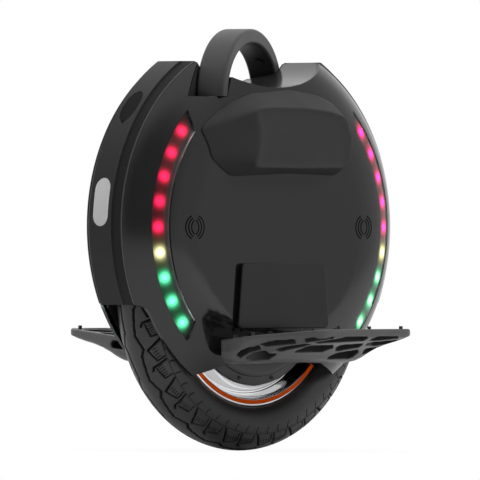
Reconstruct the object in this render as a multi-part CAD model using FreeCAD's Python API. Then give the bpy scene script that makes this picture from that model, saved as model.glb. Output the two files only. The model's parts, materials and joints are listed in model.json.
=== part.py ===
import FreeCAD, Part
import math
import os
from FreeCAD import Vector

# Millimetres. +X forward, +Y the rider's left, +Z up, origin on the ground under the axle.
# The machine repeats itself under a half turn about Z, so most pieces are made once, on the left
# or at the front, and turned.

# Wheel and hub motor
tyre_radius = 203.0
tyre_width = 76.0
tyre_wall = 7.5
tyre_shoulder_drop = 15.0
tyre_shoulder_inset = 6.0
tyre_patch = 7.0
bead_step = 0.5
bead_heel = 2.0
bead_width = 6.0
rim_radius = 145.0
rim_half_width = 26.0
rim_flange = 3.7
rim_lip = 6.3
rim_face = 9.0
rim_edge = 2.0
dish_depth = 18.0
drum_step = 8.5
drum_half_width = 21.8
gutter_width = 18.3
hub_ring_width = 10.7
hub_cover_half_width = 36.0
hub_cover_wall = 5.0
hub_step = 6.0
hub_bevel = 2.0
hub_disc_edge = 5.0
hub_inner_edge = 8.0
stripe_drop = 8.0
stripe_width = 5.5
stripe_thickness = 0.4
magnet_thickness = 5.4
magnet_half_width = 20.0
air_gap = 0.7
stator_half_width = 19.0
stator_yoke = 33.0
stator_hub_radius = 25.0
stator_web = 16.0
axle_radius = 8.0
axle_length = 132.0
bearing_radius = 14.0
bearing_width = 10.0
nut_across_flats = 24.0
nut_thickness = 9.0
valve_radius = 3.0
valve_recess = 1.0

# Shell: a domed cover on each side, a spine band at each end and a scooped top
shell_rise = 88.7
panel_half_width = 76.5
panel_flat_radius = 140.0
crown_arc = 147.6
crown_turn = 28.8
edge_arc = 84.5
edge_turn = 26.8
cover_wall = 3.0
spine_rise = 7.88
spine_half_width = 20.5
spine_groove = 3.4
spine_step = 1.0
top_room = 92.5
scoop_depth = 34.0
scoop_radius = 200.0
hem_drop = 101.7
hem_blend = 22.0
skirt_inset = 10.12
skirt_angle = 57.1
skirt_notch_half_width = 71.0
skirt_notch_drop = 174.1

# Inner fender that carries everything
fender_gap = 4.0
fender_wall = 2.5
fender_half_width = 42.5
fender_end_height = 205.0
fender_floor_height = 128.0
fender_margin = 9.0
fender_axle_hole = 16.0
post_radius = 5.0
post_upper = (55.0, 385.0)
post_lower = (60.0, 200.0)
screw_radius = 1.8
screw_length = 22.0
screw_head_radius = 4.0
screw_head_height = 2.0
screw_room = 1.0

# Pedals, their pins and hangers
pedal_half_length = 112.0
pedal_inner = 80.0
pedal_width = 132.0
pedal_top_inner = 144.7
pedal_slope = 0.1076
pedal_root_depth = 30.7
pedal_underside = [(1.0, 5.0), (0.955, 10.7), (0.88, 13.2), (0.773, 15.4), (0.644, 17.2), (0.523, 20.5),
                   (0.405, 25.3), (0.326, 29.7), (0.246, 32.3), (0.159, 32.8)]
pedal_end_round = 20.0
pedal_end_share = 0.55
pedal_end_steps = (0.0, 0.1, 0.3, 0.6, 1.0)
slant_underside = [(0, 5.0), (5, 10.2), (12, 16.0), (20, 22.5), (28, 29.0), (36, 35.5), (260, 60.0)]
pedal_pin_inset = 5.0
pedal_opening_corner = 2.0
hinge_reach = 93.0
hinge_height = 136.0
hinge_pin_radius = 5.0
knuckle_radius = 9.0
knuckle_half_width = 38.0
knuckle_web = 16.0
knuckle_room = 2.0
hanger_half_width = 35.0
hanger_thickness = 12.0
hanger_rise = 35.0
hanger_drop = 14.0
hanger_corner = 14.0
stud_radius = 2.5
stud_height = 4.5
stud_depth = 3.0
# places in the pedal's plan: percent of its half-length and of its width
slant_start = (100, 40.9)
slant_end = (44.6, 100)
plan_corners = [(-100, 0), (100, 0), slant_start, slant_end, (-100, 100)]
plan_radii = [5.0, 5.0, 30.0, 35.0, 16.0]
opening_corners = [
    [(84.8, 24.6), (85.7, 28), (83.9, 34.8), (79.5, 41.3), (76.8, 44.3),
     (58.5, 42.8), (55.4, 39.8), (56.7, 31.4), (82.6, 24.6)],
    [(-35.3, 32.2), (-33.9, 36.7), (-38.8, 44.3), (-62.5, 51.5),
     (-71.4, 43.6), (-72.8, 36), (-69.6, 31.8), (-40.2, 31.1)],
    [(-75, 50), (-72.3, 55.3), (-88.4, 61.4), (-93.8, 50), (-91.1, 40.2), (-82.1, 40.9)],
    [(95.5, 20.8), (96, 27.3), (92.9, 34.8), (85.9, 44.1), (81.8, 42.3), (87.9, 31.8), (90.4, 21.2)],
    [(-59.4, 65.5), (-50.4, 76.5), (-51.8, 79.9), (-82.1, 87.5), (-89.3, 85.6),
     (-91.1, 80.3), (-88.4, 68.2), (-75, 63.3), (-67.4, 64)],
    [(87.1, 46.2), (78.1, 58.7), (63.4, 73.9), (59.4, 71.6), (79.9, 48.9)],
    [(69.2, 51.9), (67, 57.2), (58.9, 67.8), (49.6, 75.8),
     (36.2, 72.3), (35.7, 62.9), (54.9, 49.2), (59.6, 49.2)],
    [(-24.6, 53.8), (-19.2, 60.6), (-17, 68.9), (-43.8, 75),
     (-52.2, 66.3), (-55.8, 58.3), (-36.2, 49.2), (-30.8, 49.2)],
    [(33.5, 48.1), (29.9, 65.9), (-2.2, 69.3), (-16.5, 56.1), (-11.2, 46.8), (30.8, 46.1)],
    [(55.8, 81.4), (50, 88.6), (40.2, 93.2), (26.3, 96.1), (23.7, 93), (36.6, 88.1), (51.3, 79.9)],
    [(-41.1, 86.4), (-39.7, 93.2), (-43.8, 95.8), (-75.9, 95.8), (-79.9, 92.8), (-51.3, 84.8)],
    [(40.6, 81.1), (27.7, 87.9), (8.9, 95.5), (-27.2, 95.8), (-31.2, 92.4), (-33, 84.8), (29.5, 76.9)],
]
stud_places = [(92, 15.5), (92.9, 41.3), (73.7, 48.3), (58.9, 76.9), (18.3, 96.2), (-35.7, 91.3),
               (-86.6, 91.3), (-94.6, 31.8), (25, 34.8), (-25, 34.8), (-61.6, 58.3), (46.4, 28.8), (0, 74.6)]
end_pocket_depth = 14.0
rear_pocket = [(105.5, 136.5), (121.0, 138.0)]
rear_pocket_half_height = 5.0

# Soft knee pads and the plates the folded pedals lean on
pad_root = 60.0
pad_shoulder = 111.0
pad_face = 109.0
pad_foot_outline = [(97.1, 349.7), (149.0, 373.0), (153.0, 394.0), (152.0, 415.0), (102.0, 450.0),
                    (51.4, 469.1), (-20.1, 476.8), (-76.9, 467.1), (-110.0, 453.8), (-126.0, 404.0),
                    (-124.0, 370.6), (-108.6, 352.2), (-17.9, 357.0)]
pad_shoulder_outline = [(77.0, 367.0), (69.5, 388.0), (68.0, 416.0), (75.0, 441.0), (65.0, 444.0),
                        (42.0, 445.0), (-15.0, 444.0), (-58.0, 440.0), (-86.0, 433.0), (-97.0, 407.0),
                        (-95.0, 376.0), (-84.0, 367.0), (-5.0, 366.0)]
pad_middle = (-5.0, 408.0)
pad_face_share = 0.84
pad_corner = 4.0
rest_plate_rise = 7.0
rest_plate_top = 243.7
rest_plate_bottom = 159.0
rest_plate_top_half = 73.5
rest_plate_bottom_half = 81.0
rest_plate_corner = 6.0
rest_plate_skin = 2.5

# Light strips and lamps
strip_width = 23.1
strip_inner_angle = 40.5
strip_tip_angle = 45.5
strip_recess = 0.4
strip_lens = 2.2
strip_board_depth = 6.0
strip_board = 1.6
strip_board_inset = 2.5
led_count = 9
led_pitch_angle = 9.3
led_inset = 7.1
led_size = 5.0
led_gap = 0.4
lamp_height = 322.6
lamp_length = 62.0
lamp_width = 28.0
lamp_recess = 0.3
lamp_lens = 3.2
lamp_board_depth = 12.0

# Charging port on the front band
port_angle = 38.7
cap_length = 50.0
cap_width = 27.0
cap_thickness = 3.2
cap_recess = 0.2
port_reach = 12.0
inlet_bore = 8.0
inlet_wall = 4.0
inlet_depth = 12.0
inlet_flange = 2.6
inlet_margin = 4.0

# Pull-out handle, set diagonally across the top
handle_angle = 27.9
handle_half_span = 121.0
handle_rise = 88.4
handle_thickness = 19.0
handle_width = 38.4
handle_edge = 4.0
pocket_depth = 46.0
pocket_half_width = 20.0
pocket_inner = 90.0
pocket_wall = 2.0
leg_gap = 0.5
tube_radius = 8.5
tube_wall = 1.0
tube_clearance = 0.08
tube_foot = 235.0
tube_step = 5.0
release_angle = 42.4
release_radius = 6.0
release_height = 8.0
release_proud = 2.0
release_travel_room = 2.5
power_button_radius = 9.0
power_button_offset = -38.0
power_button_proud = 1.5
power_button_height = 9.0

# Electronics and batteries
battery_front = 80.0
battery_rear = -125.0
battery_bottom = 245.0
battery_top = 352.0
battery_thickness = 25.0
battery_edge = 6.0
heat_sink_half_length = 55.0
heat_sink_half_width = 32.0
heat_sink_thickness = 5.0
board_thickness = 1.8
capacitor_radius = 8.0
capacitor_height = 22.0
capacitor_edge = 2.0
speaker_radius = 17.0
speaker_depth = 13.0
speaker_place = 150.0

# Fits
seat_gap = 0.3
running_clearance = 0.05
close_clearance = 0.03
reach = 400.0

axle_height = tyre_radius
stripe_inner_radius = rim_radius - stripe_drop
hub_cover_radius = rim_radius - rim_face - gutter_width
hub_disc_radius = hub_cover_radius - hub_ring_width
drum_radius = hub_cover_radius - drum_step
pedal_outer = pedal_inner + pedal_width
tyre_half_width = tyre_width / 2
fender_radius = tyre_radius + fender_gap
fender_outer_radius = fender_radius + fender_wall
hanger_inner = fender_half_width + seat_gap
hanger_outer = hanger_inner + hanger_thickness
panel_inner = panel_half_width - cover_wall
shell_height = axle_height + shell_rise
hem_height = shell_height - hem_drop
skirt_notch_height = shell_height - skirt_notch_drop
top_height = axle_height + fender_outer_radius + top_room
scoop_floor = top_height - scoop_depth
pocket_floor = top_height - pocket_depth
hanger_top = axle_height + hanger_rise
hanger_bottom = hinge_height - hanger_drop


def line(a, b):
    return Part.LineSegment(a, b).toShape()


def arc(a, b, c):
    return Part.Arc(a, b, c).toShape()


def closed_lines(points):
    return [line(a, b) for a, b in zip(points, points[1:] + points[:1])]


def box(x0, x1, y0, y1, z0, z1):
    return Part.makeBox(x1 - x0, y1 - y0, z1 - z0, Vector(x0, y0, z0))


def rod_x(y, z, radius, x0, x1):
    return Part.makeCylinder(radius, x1 - x0, Vector(x0, y, z), Vector(1, 0, 0))


def rod_y(x, z, radius, y0, y1):
    return Part.makeCylinder(radius, y1 - y0, Vector(x, y0, z), Vector(0, 1, 0))


def rod_z(x, y, radius, z0, z1):
    return Part.makeCylinder(radius, z1 - z0, Vector(x, y, z0), Vector(0, 0, 1))


def half_turn(shape):
    turned = shape.copy()
    turned.rotate(Vector(0, 0, 0), Vector(0, 0, 1), 180)
    return turned


def mirror_y(shape):
    return shape.mirror(Vector(0, 0, 0), Vector(0, 1, 0))


def union(shapes):
    return shapes[0].multiFuse(shapes[1:]).removeSplitter()


def spin(edges, height):
    face = Part.Face(Part.Wire(edges))
    return face.revolve(Vector(0, 0, height), Vector(0, 1, 0), 360)


def spin_points(points, height):
    # points are (distance along the axle, radius)
    return spin(closed_lines([Vector(r, y, height) for y, r in points]), height)


def prism_y(points, y0, y1):
    wire = Part.Wire(closed_lines([Vector(x, y0, z) for x, z in points]))
    return Part.Face(wire).extrude(Vector(0, y1 - y0, 0))


def rounded_edges(corners, radius):
    # a closed run of lines and tangent arcs through the corners
    edges = []
    starts = []
    ends = []
    mids = []
    for before, corner, after in zip(corners[-1:] + corners[:-1], corners, corners[1:] + corners[:1]):
        back = (before - corner).normalize()
        on = (after - corner).normalize()
        half = back.getAngle(on) / 2
        trim = radius / math.tan(half)
        middle = (back + on).normalize()
        starts.append(corner + back * trim)
        ends.append(corner + on * trim)
        mids.append(corner + middle * (radius / math.sin(half) - radius))
    count = len(corners)
    for i in range(count):
        edges.append(arc(starts[i], mids[i], ends[i]))
        edges.append(line(ends[i], starts[(i + 1) % count]))
    return edges


def rounded_prism(corners, radius, way):
    return Part.Face(Part.Wire(rounded_edges(corners, radius))).extrude(way)


def polar(radius, angle, y=0.0):
    turn = math.radians(angle)
    return Vector(radius * math.cos(turn), y, shell_height + radius * math.sin(turn))


# Shell surfaces

def dome_points(offset):
    # radius and half-width along the cover's section, moved inwards by offset
    first = math.radians(crown_turn)
    last = math.radians(crown_turn + edge_turn)
    crown = (panel_flat_radius, panel_half_width - crown_arc)
    step = crown_arc - edge_arc
    edge = (crown[0] + step * math.sin(first), crown[1] + step * math.cos(first))

    def on(centre, radius, turn):
        return (centre[0] + radius * math.sin(turn), centre[1] + radius * math.cos(turn))

    stops = [(crown, crown_arc, 0), (crown, crown_arc, first / 2), (crown, crown_arc, first)]
    stops += [(edge, edge_arc, (first + last) / 2), (edge, edge_arc, last)]
    return [on(centre, radius - offset, turn) for centre, radius, turn in stops]


seam_radius, seam_half_width = dome_points(0)[-1]
spine_radius = seam_radius + spine_rise
skirt_radius = seam_radius - skirt_inset
strip_outer_radius = dome_points(0)[2][0]
strip_inner_radius = strip_outer_radius - strip_width
led_radius = strip_outer_radius - led_inset


def dome(offset):
    a, b, c, d, e = [Vector(r, w, shell_height) for r, w in dome_points(offset)]
    centre = Vector(0, 0, shell_height)
    foot = Vector(e.x, 0, shell_height)
    crown = Vector(0, a.y, shell_height)
    return spin([line(centre, foot), line(foot, e), arc(e, d, c), arc(c, b, a), line(a, crown),
                 line(crown, centre)], shell_height)


def dome_skin(outer, inner):
    return dome(outer).cut(dome(inner))


def spine_section(inset):
    # a flat crown, a step down at each edge and a sloping groove to the covers
    step = spine_half_width + spine_step
    groove = spine_radius - spine_groove
    half = [(seam_half_width, seam_radius - inset), (step - inset / 3, groove - inset),
            (spine_half_width - inset / 2, spine_radius - inset)]
    return half + [(-y, r) for y, r in reversed(half)]


def spine_core(inset):
    foot = [(-seam_half_width, 0), (seam_half_width, 0)]
    return spin_points(spine_section(inset) + foot, shell_height)


def spine_ring(outer, inner):
    return spine_core(outer).cut(spine_core(inner))


def under_top(drop):
    block = box(-reach, reach, -reach, reach, 0, top_height - drop)
    return block.cut(rod_y(0, scoop_floor + scoop_radius, scoop_radius + drop, -reach, reach))


def skirt(margin, y0, y1):
    # the covers' side outline, drawn in by margin
    radius = skirt_radius - margin
    hem = hem_height + margin
    notch = skirt_notch_height + margin
    below = shell_height - hem
    meet = math.sqrt(radius ** 2 - below ** 2)
    turn = math.acos(below / radius)
    trim = hem_blend * math.tan(turn / 2)
    blend = math.degrees(math.asin(below / radius)) + math.degrees(trim / radius)
    centre = Vector(meet + trim, 0, hem - hem_blend)
    out = (Vector(meet, 0, hem) - centre).normalize()
    far = Vector(reach, 0, hem)
    right = [Vector(reach, 0, reach * 2), far, Vector(meet + trim, 0, hem), centre + out * hem_blend,
             polar(radius, -blend), polar(radius, -(blend + skirt_angle) / 2), polar(radius, -skirt_angle),
             Vector(skirt_notch_half_width, 0, notch)]
    left = [Vector(-p.x, 0, p.z) for p in right]
    edges = []
    for a, b, c, d, e, f, g, h in (right, left):
        edges += [line(a, b), line(b, c), arc(c, d, e), arc(e, f, g), line(g, h)]
    edges += [line(right[-1], left[-1]), line(right[0], left[0])]
    face = Part.Face(Part.Wire(Part.__sortEdges__(edges)))
    face.translate(Vector(0, y0, 0))
    return face.extrude(Vector(0, y1 - y0, 0))


def strip_prism(grow, y0, y1):
    # one light strip's outline at the front: two arcs closed by slanted ends
    inner = strip_inner_radius - grow
    outer = strip_outer_radius + grow
    spread_in = strip_inner_angle + math.degrees(grow / inner)
    spread_out = strip_tip_angle + math.degrees(grow / outer)
    a, b = polar(inner, -spread_in, y0), polar(inner, spread_in, y0)
    c, d = polar(outer, spread_out, y0), polar(outer, -spread_out, y0)
    edges = [arc(a, polar(inner, 0, y0), b), line(b, c), arc(c, polar(outer, 0, y0), d), line(d, a)]
    return Part.Face(Part.Wire(edges)).extrude(Vector(0, y1 - y0, 0))


def rear_of(shape):
    return shape.mirror(Vector(0, 0, 0), Vector(1, 0, 0))


# Handle frame: s runs along the diagonal, t across it

along = Vector(math.cos(math.radians(handle_angle)), math.sin(math.radians(handle_angle)), 0)


def on_diagonal(shape):
    turned = shape.copy()
    turned.rotate(Vector(0, 0, 0), Vector(0, 0, 1), handle_angle)
    return turned


def pocket_box(grow):
    return on_diagonal(box(pocket_inner - grow, reach, -pocket_half_width - grow, pocket_half_width + grow,
                           pocket_floor - grow, reach * 2))


leg_middle = handle_half_span - handle_thickness / 2
leg_foot = along * leg_middle


# Shell pieces

def pin_posts():
    return [(sign * x, z) for x, z in (post_upper, post_lower) for sign in (1, -1)]


def inner_fender():
    ring = spin_points([(-fender_half_width, fender_radius), (fender_half_width, fender_radius),
                        (fender_half_width, fender_outer_radius), (-fender_half_width, fender_outer_radius)],
                       axle_height)
    pieces = [ring.common(box(-reach, reach, -reach, reach, fender_end_height, reach * 2))]
    inside = fender_half_width - fender_wall
    wall = rod_y(0, axle_height, fender_outer_radius, inside, fender_half_width)
    wall = wall.common(box(-reach, reach, 0, reach, fender_floor_height, reach * 2))
    wall = wall.common(rod_y(0, shell_height, skirt_radius - fender_margin, 0, reach))
    wall = wall.cut(rod_y(0, axle_height, fender_axle_hole, 0, reach))
    posts = [rod_y(x, z, post_radius, fender_half_width - fender_wall, panel_inner) for x, z in pin_posts()]
    side = union([wall] + posts)
    tip = panel_half_width - screw_length - screw_room
    bores = [rod_y(x, z, screw_radius + close_clearance, tip, panel_inner) for x, z in pin_posts()]
    side = side.cut(Part.makeCompound(bores))
    return union(pieces + [side, half_turn(side)])


def side_cover():
    skin = dome_skin(0, cover_wall)
    lip = skirt(0, 0, reach).cut(skirt(cover_wall, 0, reach)).common(dome(0))
    lip = lip.common(box(-reach, reach, fender_half_width + seat_gap, reach, 0, hem_height - hem_blend))
    skin = skin.common(skirt(0, 0, reach)).fuse(lip)
    skin = skin.cut(box(-reach, reach, -1, seam_half_width, 0, reach * 2))
    skin = skin.common(under_top(0)).cut(pocket_box(0))
    strip = strip_prism(0, 0, reach)
    skin = skin.cut(Part.makeCompound([strip, rear_of(strip)]))
    lug = knuckle_half_width + cover_wall
    skin = skin.cut(box(-lug, lug, 0, reach, 0, hinge_height + knuckle_radius + cover_wall))
    holes = [rod_y(x, z, screw_radius + seat_gap, 0, reach) for x, z in pin_posts()]
    return skin.cut(Part.makeCompound(holes)).removeSplitter()


def cover_screws():
    screws = []
    for x, z in pin_posts():
        shank = rod_y(x, z, screw_radius, panel_half_width - screw_length, panel_half_width)
        head = rod_y(x, z, screw_head_radius, panel_half_width, panel_half_width + screw_head_height)
        screws.append(shank.fuse(head).removeSplitter())
    left = Part.makeCompound(screws)
    return Part.makeCompound([left, half_turn(left)])


def spine_cover(port):
    band = spine_ring(0, cover_wall).common(under_top(0))
    band = band.common(box(0, reach, -reach, reach, hem_height, reach * 2))
    band = band.cut(lamp_pill(seat_gap))
    if port:
        band = band.cut(port_prism(cap_length + 2 * seat_gap, cap_width + 2 * seat_gap))
    return band


def top_cover():
    inset = cover_wall + seat_gap
    inside = union([dome(inset), mirror_y(dome(inset)), spine_core(inset)])
    plate = under_top(0).cut(under_top(cover_wall)).common(inside)
    slots = pocket_box(pocket_wall + seat_gap)
    button = rod_z(0, power_button_offset, power_button_radius + seat_gap, 0, reach * 2)
    return plate.cut(Part.makeCompound([slots, half_turn(slots), button]))


def handle_pockets():
    liner = pocket_box(pocket_wall).cut(pocket_box(0)).common(dome(cover_wall + seat_gap))
    liner = liner.common(under_top(0))
    liner = liner.cut(rod_z(leg_foot.x, leg_foot.y, tube_radius - tube_wall, 0, reach * 2))
    return Part.makeCompound([liner, half_turn(liner)])


def knee_pad():
    # a soft block lofted from its foot on the panel to a creased shoulder and a dished face
    wires = []
    for outline, y, share in ((pad_foot_outline, pad_root, 1), (pad_shoulder_outline, pad_shoulder, 1),
                              (pad_shoulder_outline, pad_face, pad_face_share)):
        ring = [Vector(pad_middle[0] + (x - pad_middle[0]) * share, y,
                       pad_middle[1] + (z - pad_middle[1]) * share) for x, z in outline]
        wires.append(Part.Wire(rounded_edges(ring, pad_corner * share)))
    pad = Part.makeLoft(wires, True, True)
    pad = pad.cut(dome(-seat_gap)).common(under_top(seat_gap))
    head = panel_half_width + screw_head_height + screw_room
    holes = [rod_y(x, z, screw_head_radius + screw_room, 0, head) for x, z in pin_posts()]
    return pad.cut(Part.makeCompound(holes))


def rest_plate_outline(shrink, y):
    corners = [(rest_plate_bottom_half - shrink, rest_plate_bottom + shrink),
               (rest_plate_top_half - shrink, rest_plate_top - shrink)]
    corners += [(-x, z) for x, z in reversed(corners)]
    return [Vector(x, y, z) for x, z in corners]


def rest_plate():
    plate = rounded_prism(rest_plate_outline(0, panel_half_width), rest_plate_corner,
                          Vector(0, rest_plate_rise, 0))
    front = [edge for edge in plate.Edges
             if all(abs(v.Point.y - panel_half_width - rest_plate_rise) < 0.01 for v in edge.Vertexes)]
    plate = plate.makeFillet(rest_plate_skin / 2, front)
    hollow = rounded_prism(rest_plate_outline(rest_plate_skin, panel_half_width),
                           rest_plate_corner - rest_plate_skin,
                           Vector(0, rest_plate_rise - rest_plate_skin, 0))
    return plate.cut(hollow)


# Light strips and lamps

def strip_lens_front():
    skin = dome_skin(strip_recess, strip_recess + strip_lens)
    return skin.common(strip_prism(-seat_gap, 0, reach))


def strip_board_front():
    board = dome_skin(strip_board_depth, strip_board_depth + strip_board)
    board = board.common(strip_prism(-strip_board_inset, 0, reach))
    lens_back = strip_recess + strip_lens
    bodies = dome_skin(lens_back + led_gap, strip_board_depth + strip_board / 2)
    pieces = [board]
    for i in range(led_count):
        angle = (i - (led_count - 1) / 2) * led_pitch_angle
        half = led_size / 2
        post = box(led_radius - half, led_radius + half, 0, reach, -half, half)
        post.rotate(Vector(0, 0, 0), Vector(0, 1, 0), -angle)
        post.translate(Vector(0, 0, shell_height))
        pieces.append(bodies.common(post))
    return union(pieces)


def lamp_pill(grow):
    half = lamp_width / 2 + grow
    run = lamp_length / 2 - lamp_width / 2
    y_run = [rod_x(0, lamp_height + sign * run, half, 0, reach) for sign in (1, -1)]
    return union(y_run + [box(0, reach, -half, half, lamp_height - run, lamp_height + run)])


def lamp_lens_front():
    skin = spine_ring(lamp_recess, lamp_recess + lamp_lens)
    return skin.common(lamp_pill(0))


def lamp_board_front():
    lens_back = lamp_recess + lamp_lens
    skin = spine_ring(lens_back + seat_gap, lamp_board_depth)
    slab = box(0, reach, -spine_half_width / 2, spine_half_width / 2, 0, reach)
    return skin.common(lamp_pill(-seat_gap)).common(slab)


# Charging port: built along +X from the shell's centre, then tipped up to its angle

def tip_to_port(shape):
    shape.rotate(Vector(0, 0, 0), Vector(0, 1, 0), -port_angle)
    shape.translate(Vector(0, 0, shell_height))
    return shape


def port_prism(length, width):
    ellipse = Part.Ellipse(Vector(0, 0, 0), length / 2, width / 2).toShape()
    face = Part.Face(Part.Wire([ellipse]))
    face.rotate(Vector(0, 0, 0), Vector(0, 1, 0), 90)
    face.translate(Vector(spine_radius - port_reach, 0, 0))
    return tip_to_port(face.extrude(Vector(port_reach * 2, 0, 0)))


def charge_cap():
    skin = spine_ring(cap_recess, cap_recess + cap_thickness)
    return skin.common(port_prism(cap_length, cap_width))


def charge_inlet():
    half_length = cap_length / 2 + inlet_margin
    sag = half_length ** 2 / (2 * spine_radius)
    seat = spine_radius - cover_wall - sag - seat_gap
    ellipse = Part.Ellipse(Vector(0, 0, 0), half_length, spine_half_width - cover_wall).toShape()
    flange = Part.Face(Part.Wire([ellipse]))
    flange.rotate(Vector(0, 0, 0), Vector(0, 1, 0), 90)
    flange.translate(Vector(seat - inlet_flange, 0, 0))
    flange = flange.extrude(Vector(inlet_flange, 0, 0))
    barrel = rod_x(0, 0, inlet_bore + inlet_wall, seat - inlet_depth - inlet_wall, seat)
    bore = rod_x(0, 0, inlet_bore, seat - inlet_depth, reach)
    return tip_to_port(flange.fuse(barrel).removeSplitter().cut(bore))


# Wheel

def tyre():
    crown = tyre_radius
    half = tyre_half_width
    shoulder = crown - tyre_shoulder_drop
    bead = rim_radius - rim_lip
    inner_bead = rim_half_width - rim_flange - seat_gap
    middle = (shoulder + rim_radius) / 2
    lip = rim_radius + seat_gap

    def at(y, r):
        return Vector(r, y, axle_height)

    outer = [(rim_half_width + bead_step, lip + bead_step), (half, middle),
             (half - tyre_shoulder_inset, shoulder)]
    inner = [(inner_bead - bead_heel, lip + bead_heel), (half - tyre_wall, middle),
             (half - tyre_shoulder_inset - tyre_wall, shoulder - tyre_wall / 2)]
    edges = []
    for sign in (1, -1):
        edges.append(arc(*[at(sign * y, r) for y, r in outer]))
        edges.append(arc(*[at(sign * y, r) for y, r in inner]))
        foot = [inner[0], (inner_bead - bead_width, bead + seat_gap), (inner_bead, bead + seat_gap),
                (inner_bead, lip + bead_step), outer[0]]
        edges += [line(at(sign * a[0], a[1]), at(sign * b[0], b[1])) for a, b in zip(foot, foot[1:])]
    y, r = inner[2]
    edges.append(arc(at(y, r), at(0, crown - tyre_wall), at(-y, r)))
    # the tread: a flat running band between two arcs down to the shoulders
    across = half - tyre_shoulder_inset - tyre_patch
    bend = (across ** 2 + tyre_shoulder_drop ** 2) / tyre_shoulder_drop / 2
    turn = math.asin(across / bend) / 2
    midway = (tyre_patch + bend * math.sin(turn), crown - bend * (1 - math.cos(turn)))
    for sign in (1, -1):
        edges.append(arc(*[at(sign * y, r) for y, r in ((tyre_patch, crown), midway, outer[2])]))
    edges.append(line(at(tyre_patch, crown), at(-tyre_patch, crown)))
    return spin(Part.__sortEdges__(edges), axle_height)


def rim():
    seat = rim_radius - rim_lip
    face = rim_radius - rim_face
    root = hub_cover_radius + seat_gap
    deep = rim_half_width - dish_depth
    width = (face - root) / 3
    half = [(drum_half_width, drum_radius), (drum_half_width, root), (rim_half_width - rim_edge, root),
            (deep, root + width), (deep, face - width), (rim_half_width - rim_edge, face - rim_edge / 2),
            (rim_half_width, face),
            (rim_half_width, rim_radius), (rim_half_width - rim_flange, rim_radius),
            (rim_half_width - rim_flange, seat)]
    return spin_points(half + [(-y, r) for y, r in reversed(half)], axle_height)


def rim_stripes():
    outer = stripe_inner_radius + stripe_width
    ring = spin_points([(rim_half_width, stripe_inner_radius), (rim_half_width, outer),
                        (rim_half_width + stripe_thickness, outer),
                        (rim_half_width + stripe_thickness, stripe_inner_radius)], axle_height)
    return Part.makeCompound([ring, half_turn(ring)])


def hub_cover():
    wall = hub_cover_wall
    top = hub_cover_half_width
    ring = top - hub_step
    bore = bearing_radius + close_clearance
    boss = bearing_radius + wall
    foot = bearing_foot()
    section = [(top, bore), (top, hub_disc_radius - hub_disc_edge), (top - hub_bevel, hub_disc_radius),
               (ring, hub_disc_radius), (ring - hub_bevel, hub_cover_radius),
               (drum_half_width, hub_cover_radius),
               (drum_half_width, hub_cover_radius - wall), (top - wall, hub_disc_radius - hub_inner_edge),
               (top - wall, boss), (foot, boss), (foot, bore)]
    return spin_points(section, axle_height)


def bearing_foot():
    return hub_cover_half_width - hub_bevel - bearing_width


def bearings():
    start = bearing_foot()
    ring = rod_y(0, axle_height, bearing_radius, start, start + bearing_width)
    ring = ring.cut(rod_y(0, axle_height, axle_radius + running_clearance, 0, reach))
    return Part.makeCompound([ring, half_turn(ring)])


def magnet_ring():
    outer = drum_radius - close_clearance
    return rod_y(0, axle_height, outer, -magnet_half_width, magnet_half_width).cut(
        rod_y(0, axle_height, outer - magnet_thickness, -reach, reach))


def stator():
    outer = drum_radius - magnet_thickness - air_gap
    inner = outer - stator_yoke
    bore = axle_radius + close_clearance
    half = [(stator_half_width, outer), (stator_half_width, inner), (stator_web / 2, inner),
            (stator_web / 2, stator_hub_radius), (stator_half_width, stator_hub_radius),
            (stator_half_width, bore)]
    return spin_points(half + [(-y, r) for y, r in reversed(half)], axle_height)


def valve_stem():
    face = rim_radius - rim_face
    middle = (face + hub_cover_radius) / 2
    deep = rim_half_width - dish_depth
    return rod_y(0, axle_height + middle, valve_radius, deep, rim_half_width - valve_recess)


def axle():
    return rod_y(0, axle_height, axle_radius, -axle_length / 2, axle_length / 2)


def axle_nuts():
    corner = nut_across_flats / 2 / math.cos(math.radians(30))
    turns = [math.radians(60 * i) for i in range(6)]
    points = [(corner * math.cos(turn), axle_height + corner * math.sin(turn)) for turn in turns]
    nut = prism_y(points, hanger_outer, hanger_outer + nut_thickness)
    nut = nut.cut(rod_y(0, axle_height, axle_radius + close_clearance, 0, reach))
    return Part.makeCompound([nut, half_turn(nut)])


# Pedals

def pedal_top(y):
    return pedal_top_inner + (y - pedal_inner) * pedal_slope


def pedal_hanger():
    plate = box(-hanger_half_width, hanger_half_width, hanger_inner, hanger_outer, hanger_bottom, hanger_top)
    corners = [e for e in plate.Edges
               if abs(e.Length - hanger_thickness) < 0.01 and e.Vertexes[0].Z > axle_height]
    plate = plate.makeFillet(hanger_corner, corners)
    web = box(-knuckle_half_width, knuckle_half_width, hanger_inner, hinge_reach,
              hinge_height - knuckle_web / 2, hinge_height + knuckle_web / 2)
    knuckle = rod_x(hinge_reach, hinge_height, knuckle_radius, -knuckle_half_width, knuckle_half_width)
    hanger = union([plate, web, knuckle])
    hanger = hanger.cut(rod_y(0, axle_height, axle_radius + close_clearance, 0, reach))
    return hanger.cut(rod_x(hinge_reach, hinge_height, hinge_pin_radius + close_clearance, -reach, reach))


def pedal_pin():
    run = pedal_half_length - pedal_pin_inset
    return rod_x(hinge_reach, hinge_height, hinge_pin_radius, -run, run)


def pedal_y(share):
    return pedal_inner + share * pedal_width


def pedal_spot(spot):
    return spot[0] / 100 * pedal_half_length, pedal_y(spot[1] / 100)


def pedal_section(x, share):
    # the pedal's profile at one station, its underside drawn up to a share of the full depth
    points = [(pedal_inner, pedal_top_inner), (pedal_outer, pedal_top(pedal_outer))]
    points += [(pedal_y(y), pedal_top(pedal_y(y)) - share * depth) for y, depth in pedal_underside]
    points.append((pedal_inner, pedal_top_inner - share * pedal_root_depth))
    return Part.Wire(closed_lines([Vector(x, y, z) for y, z in points]))


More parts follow.
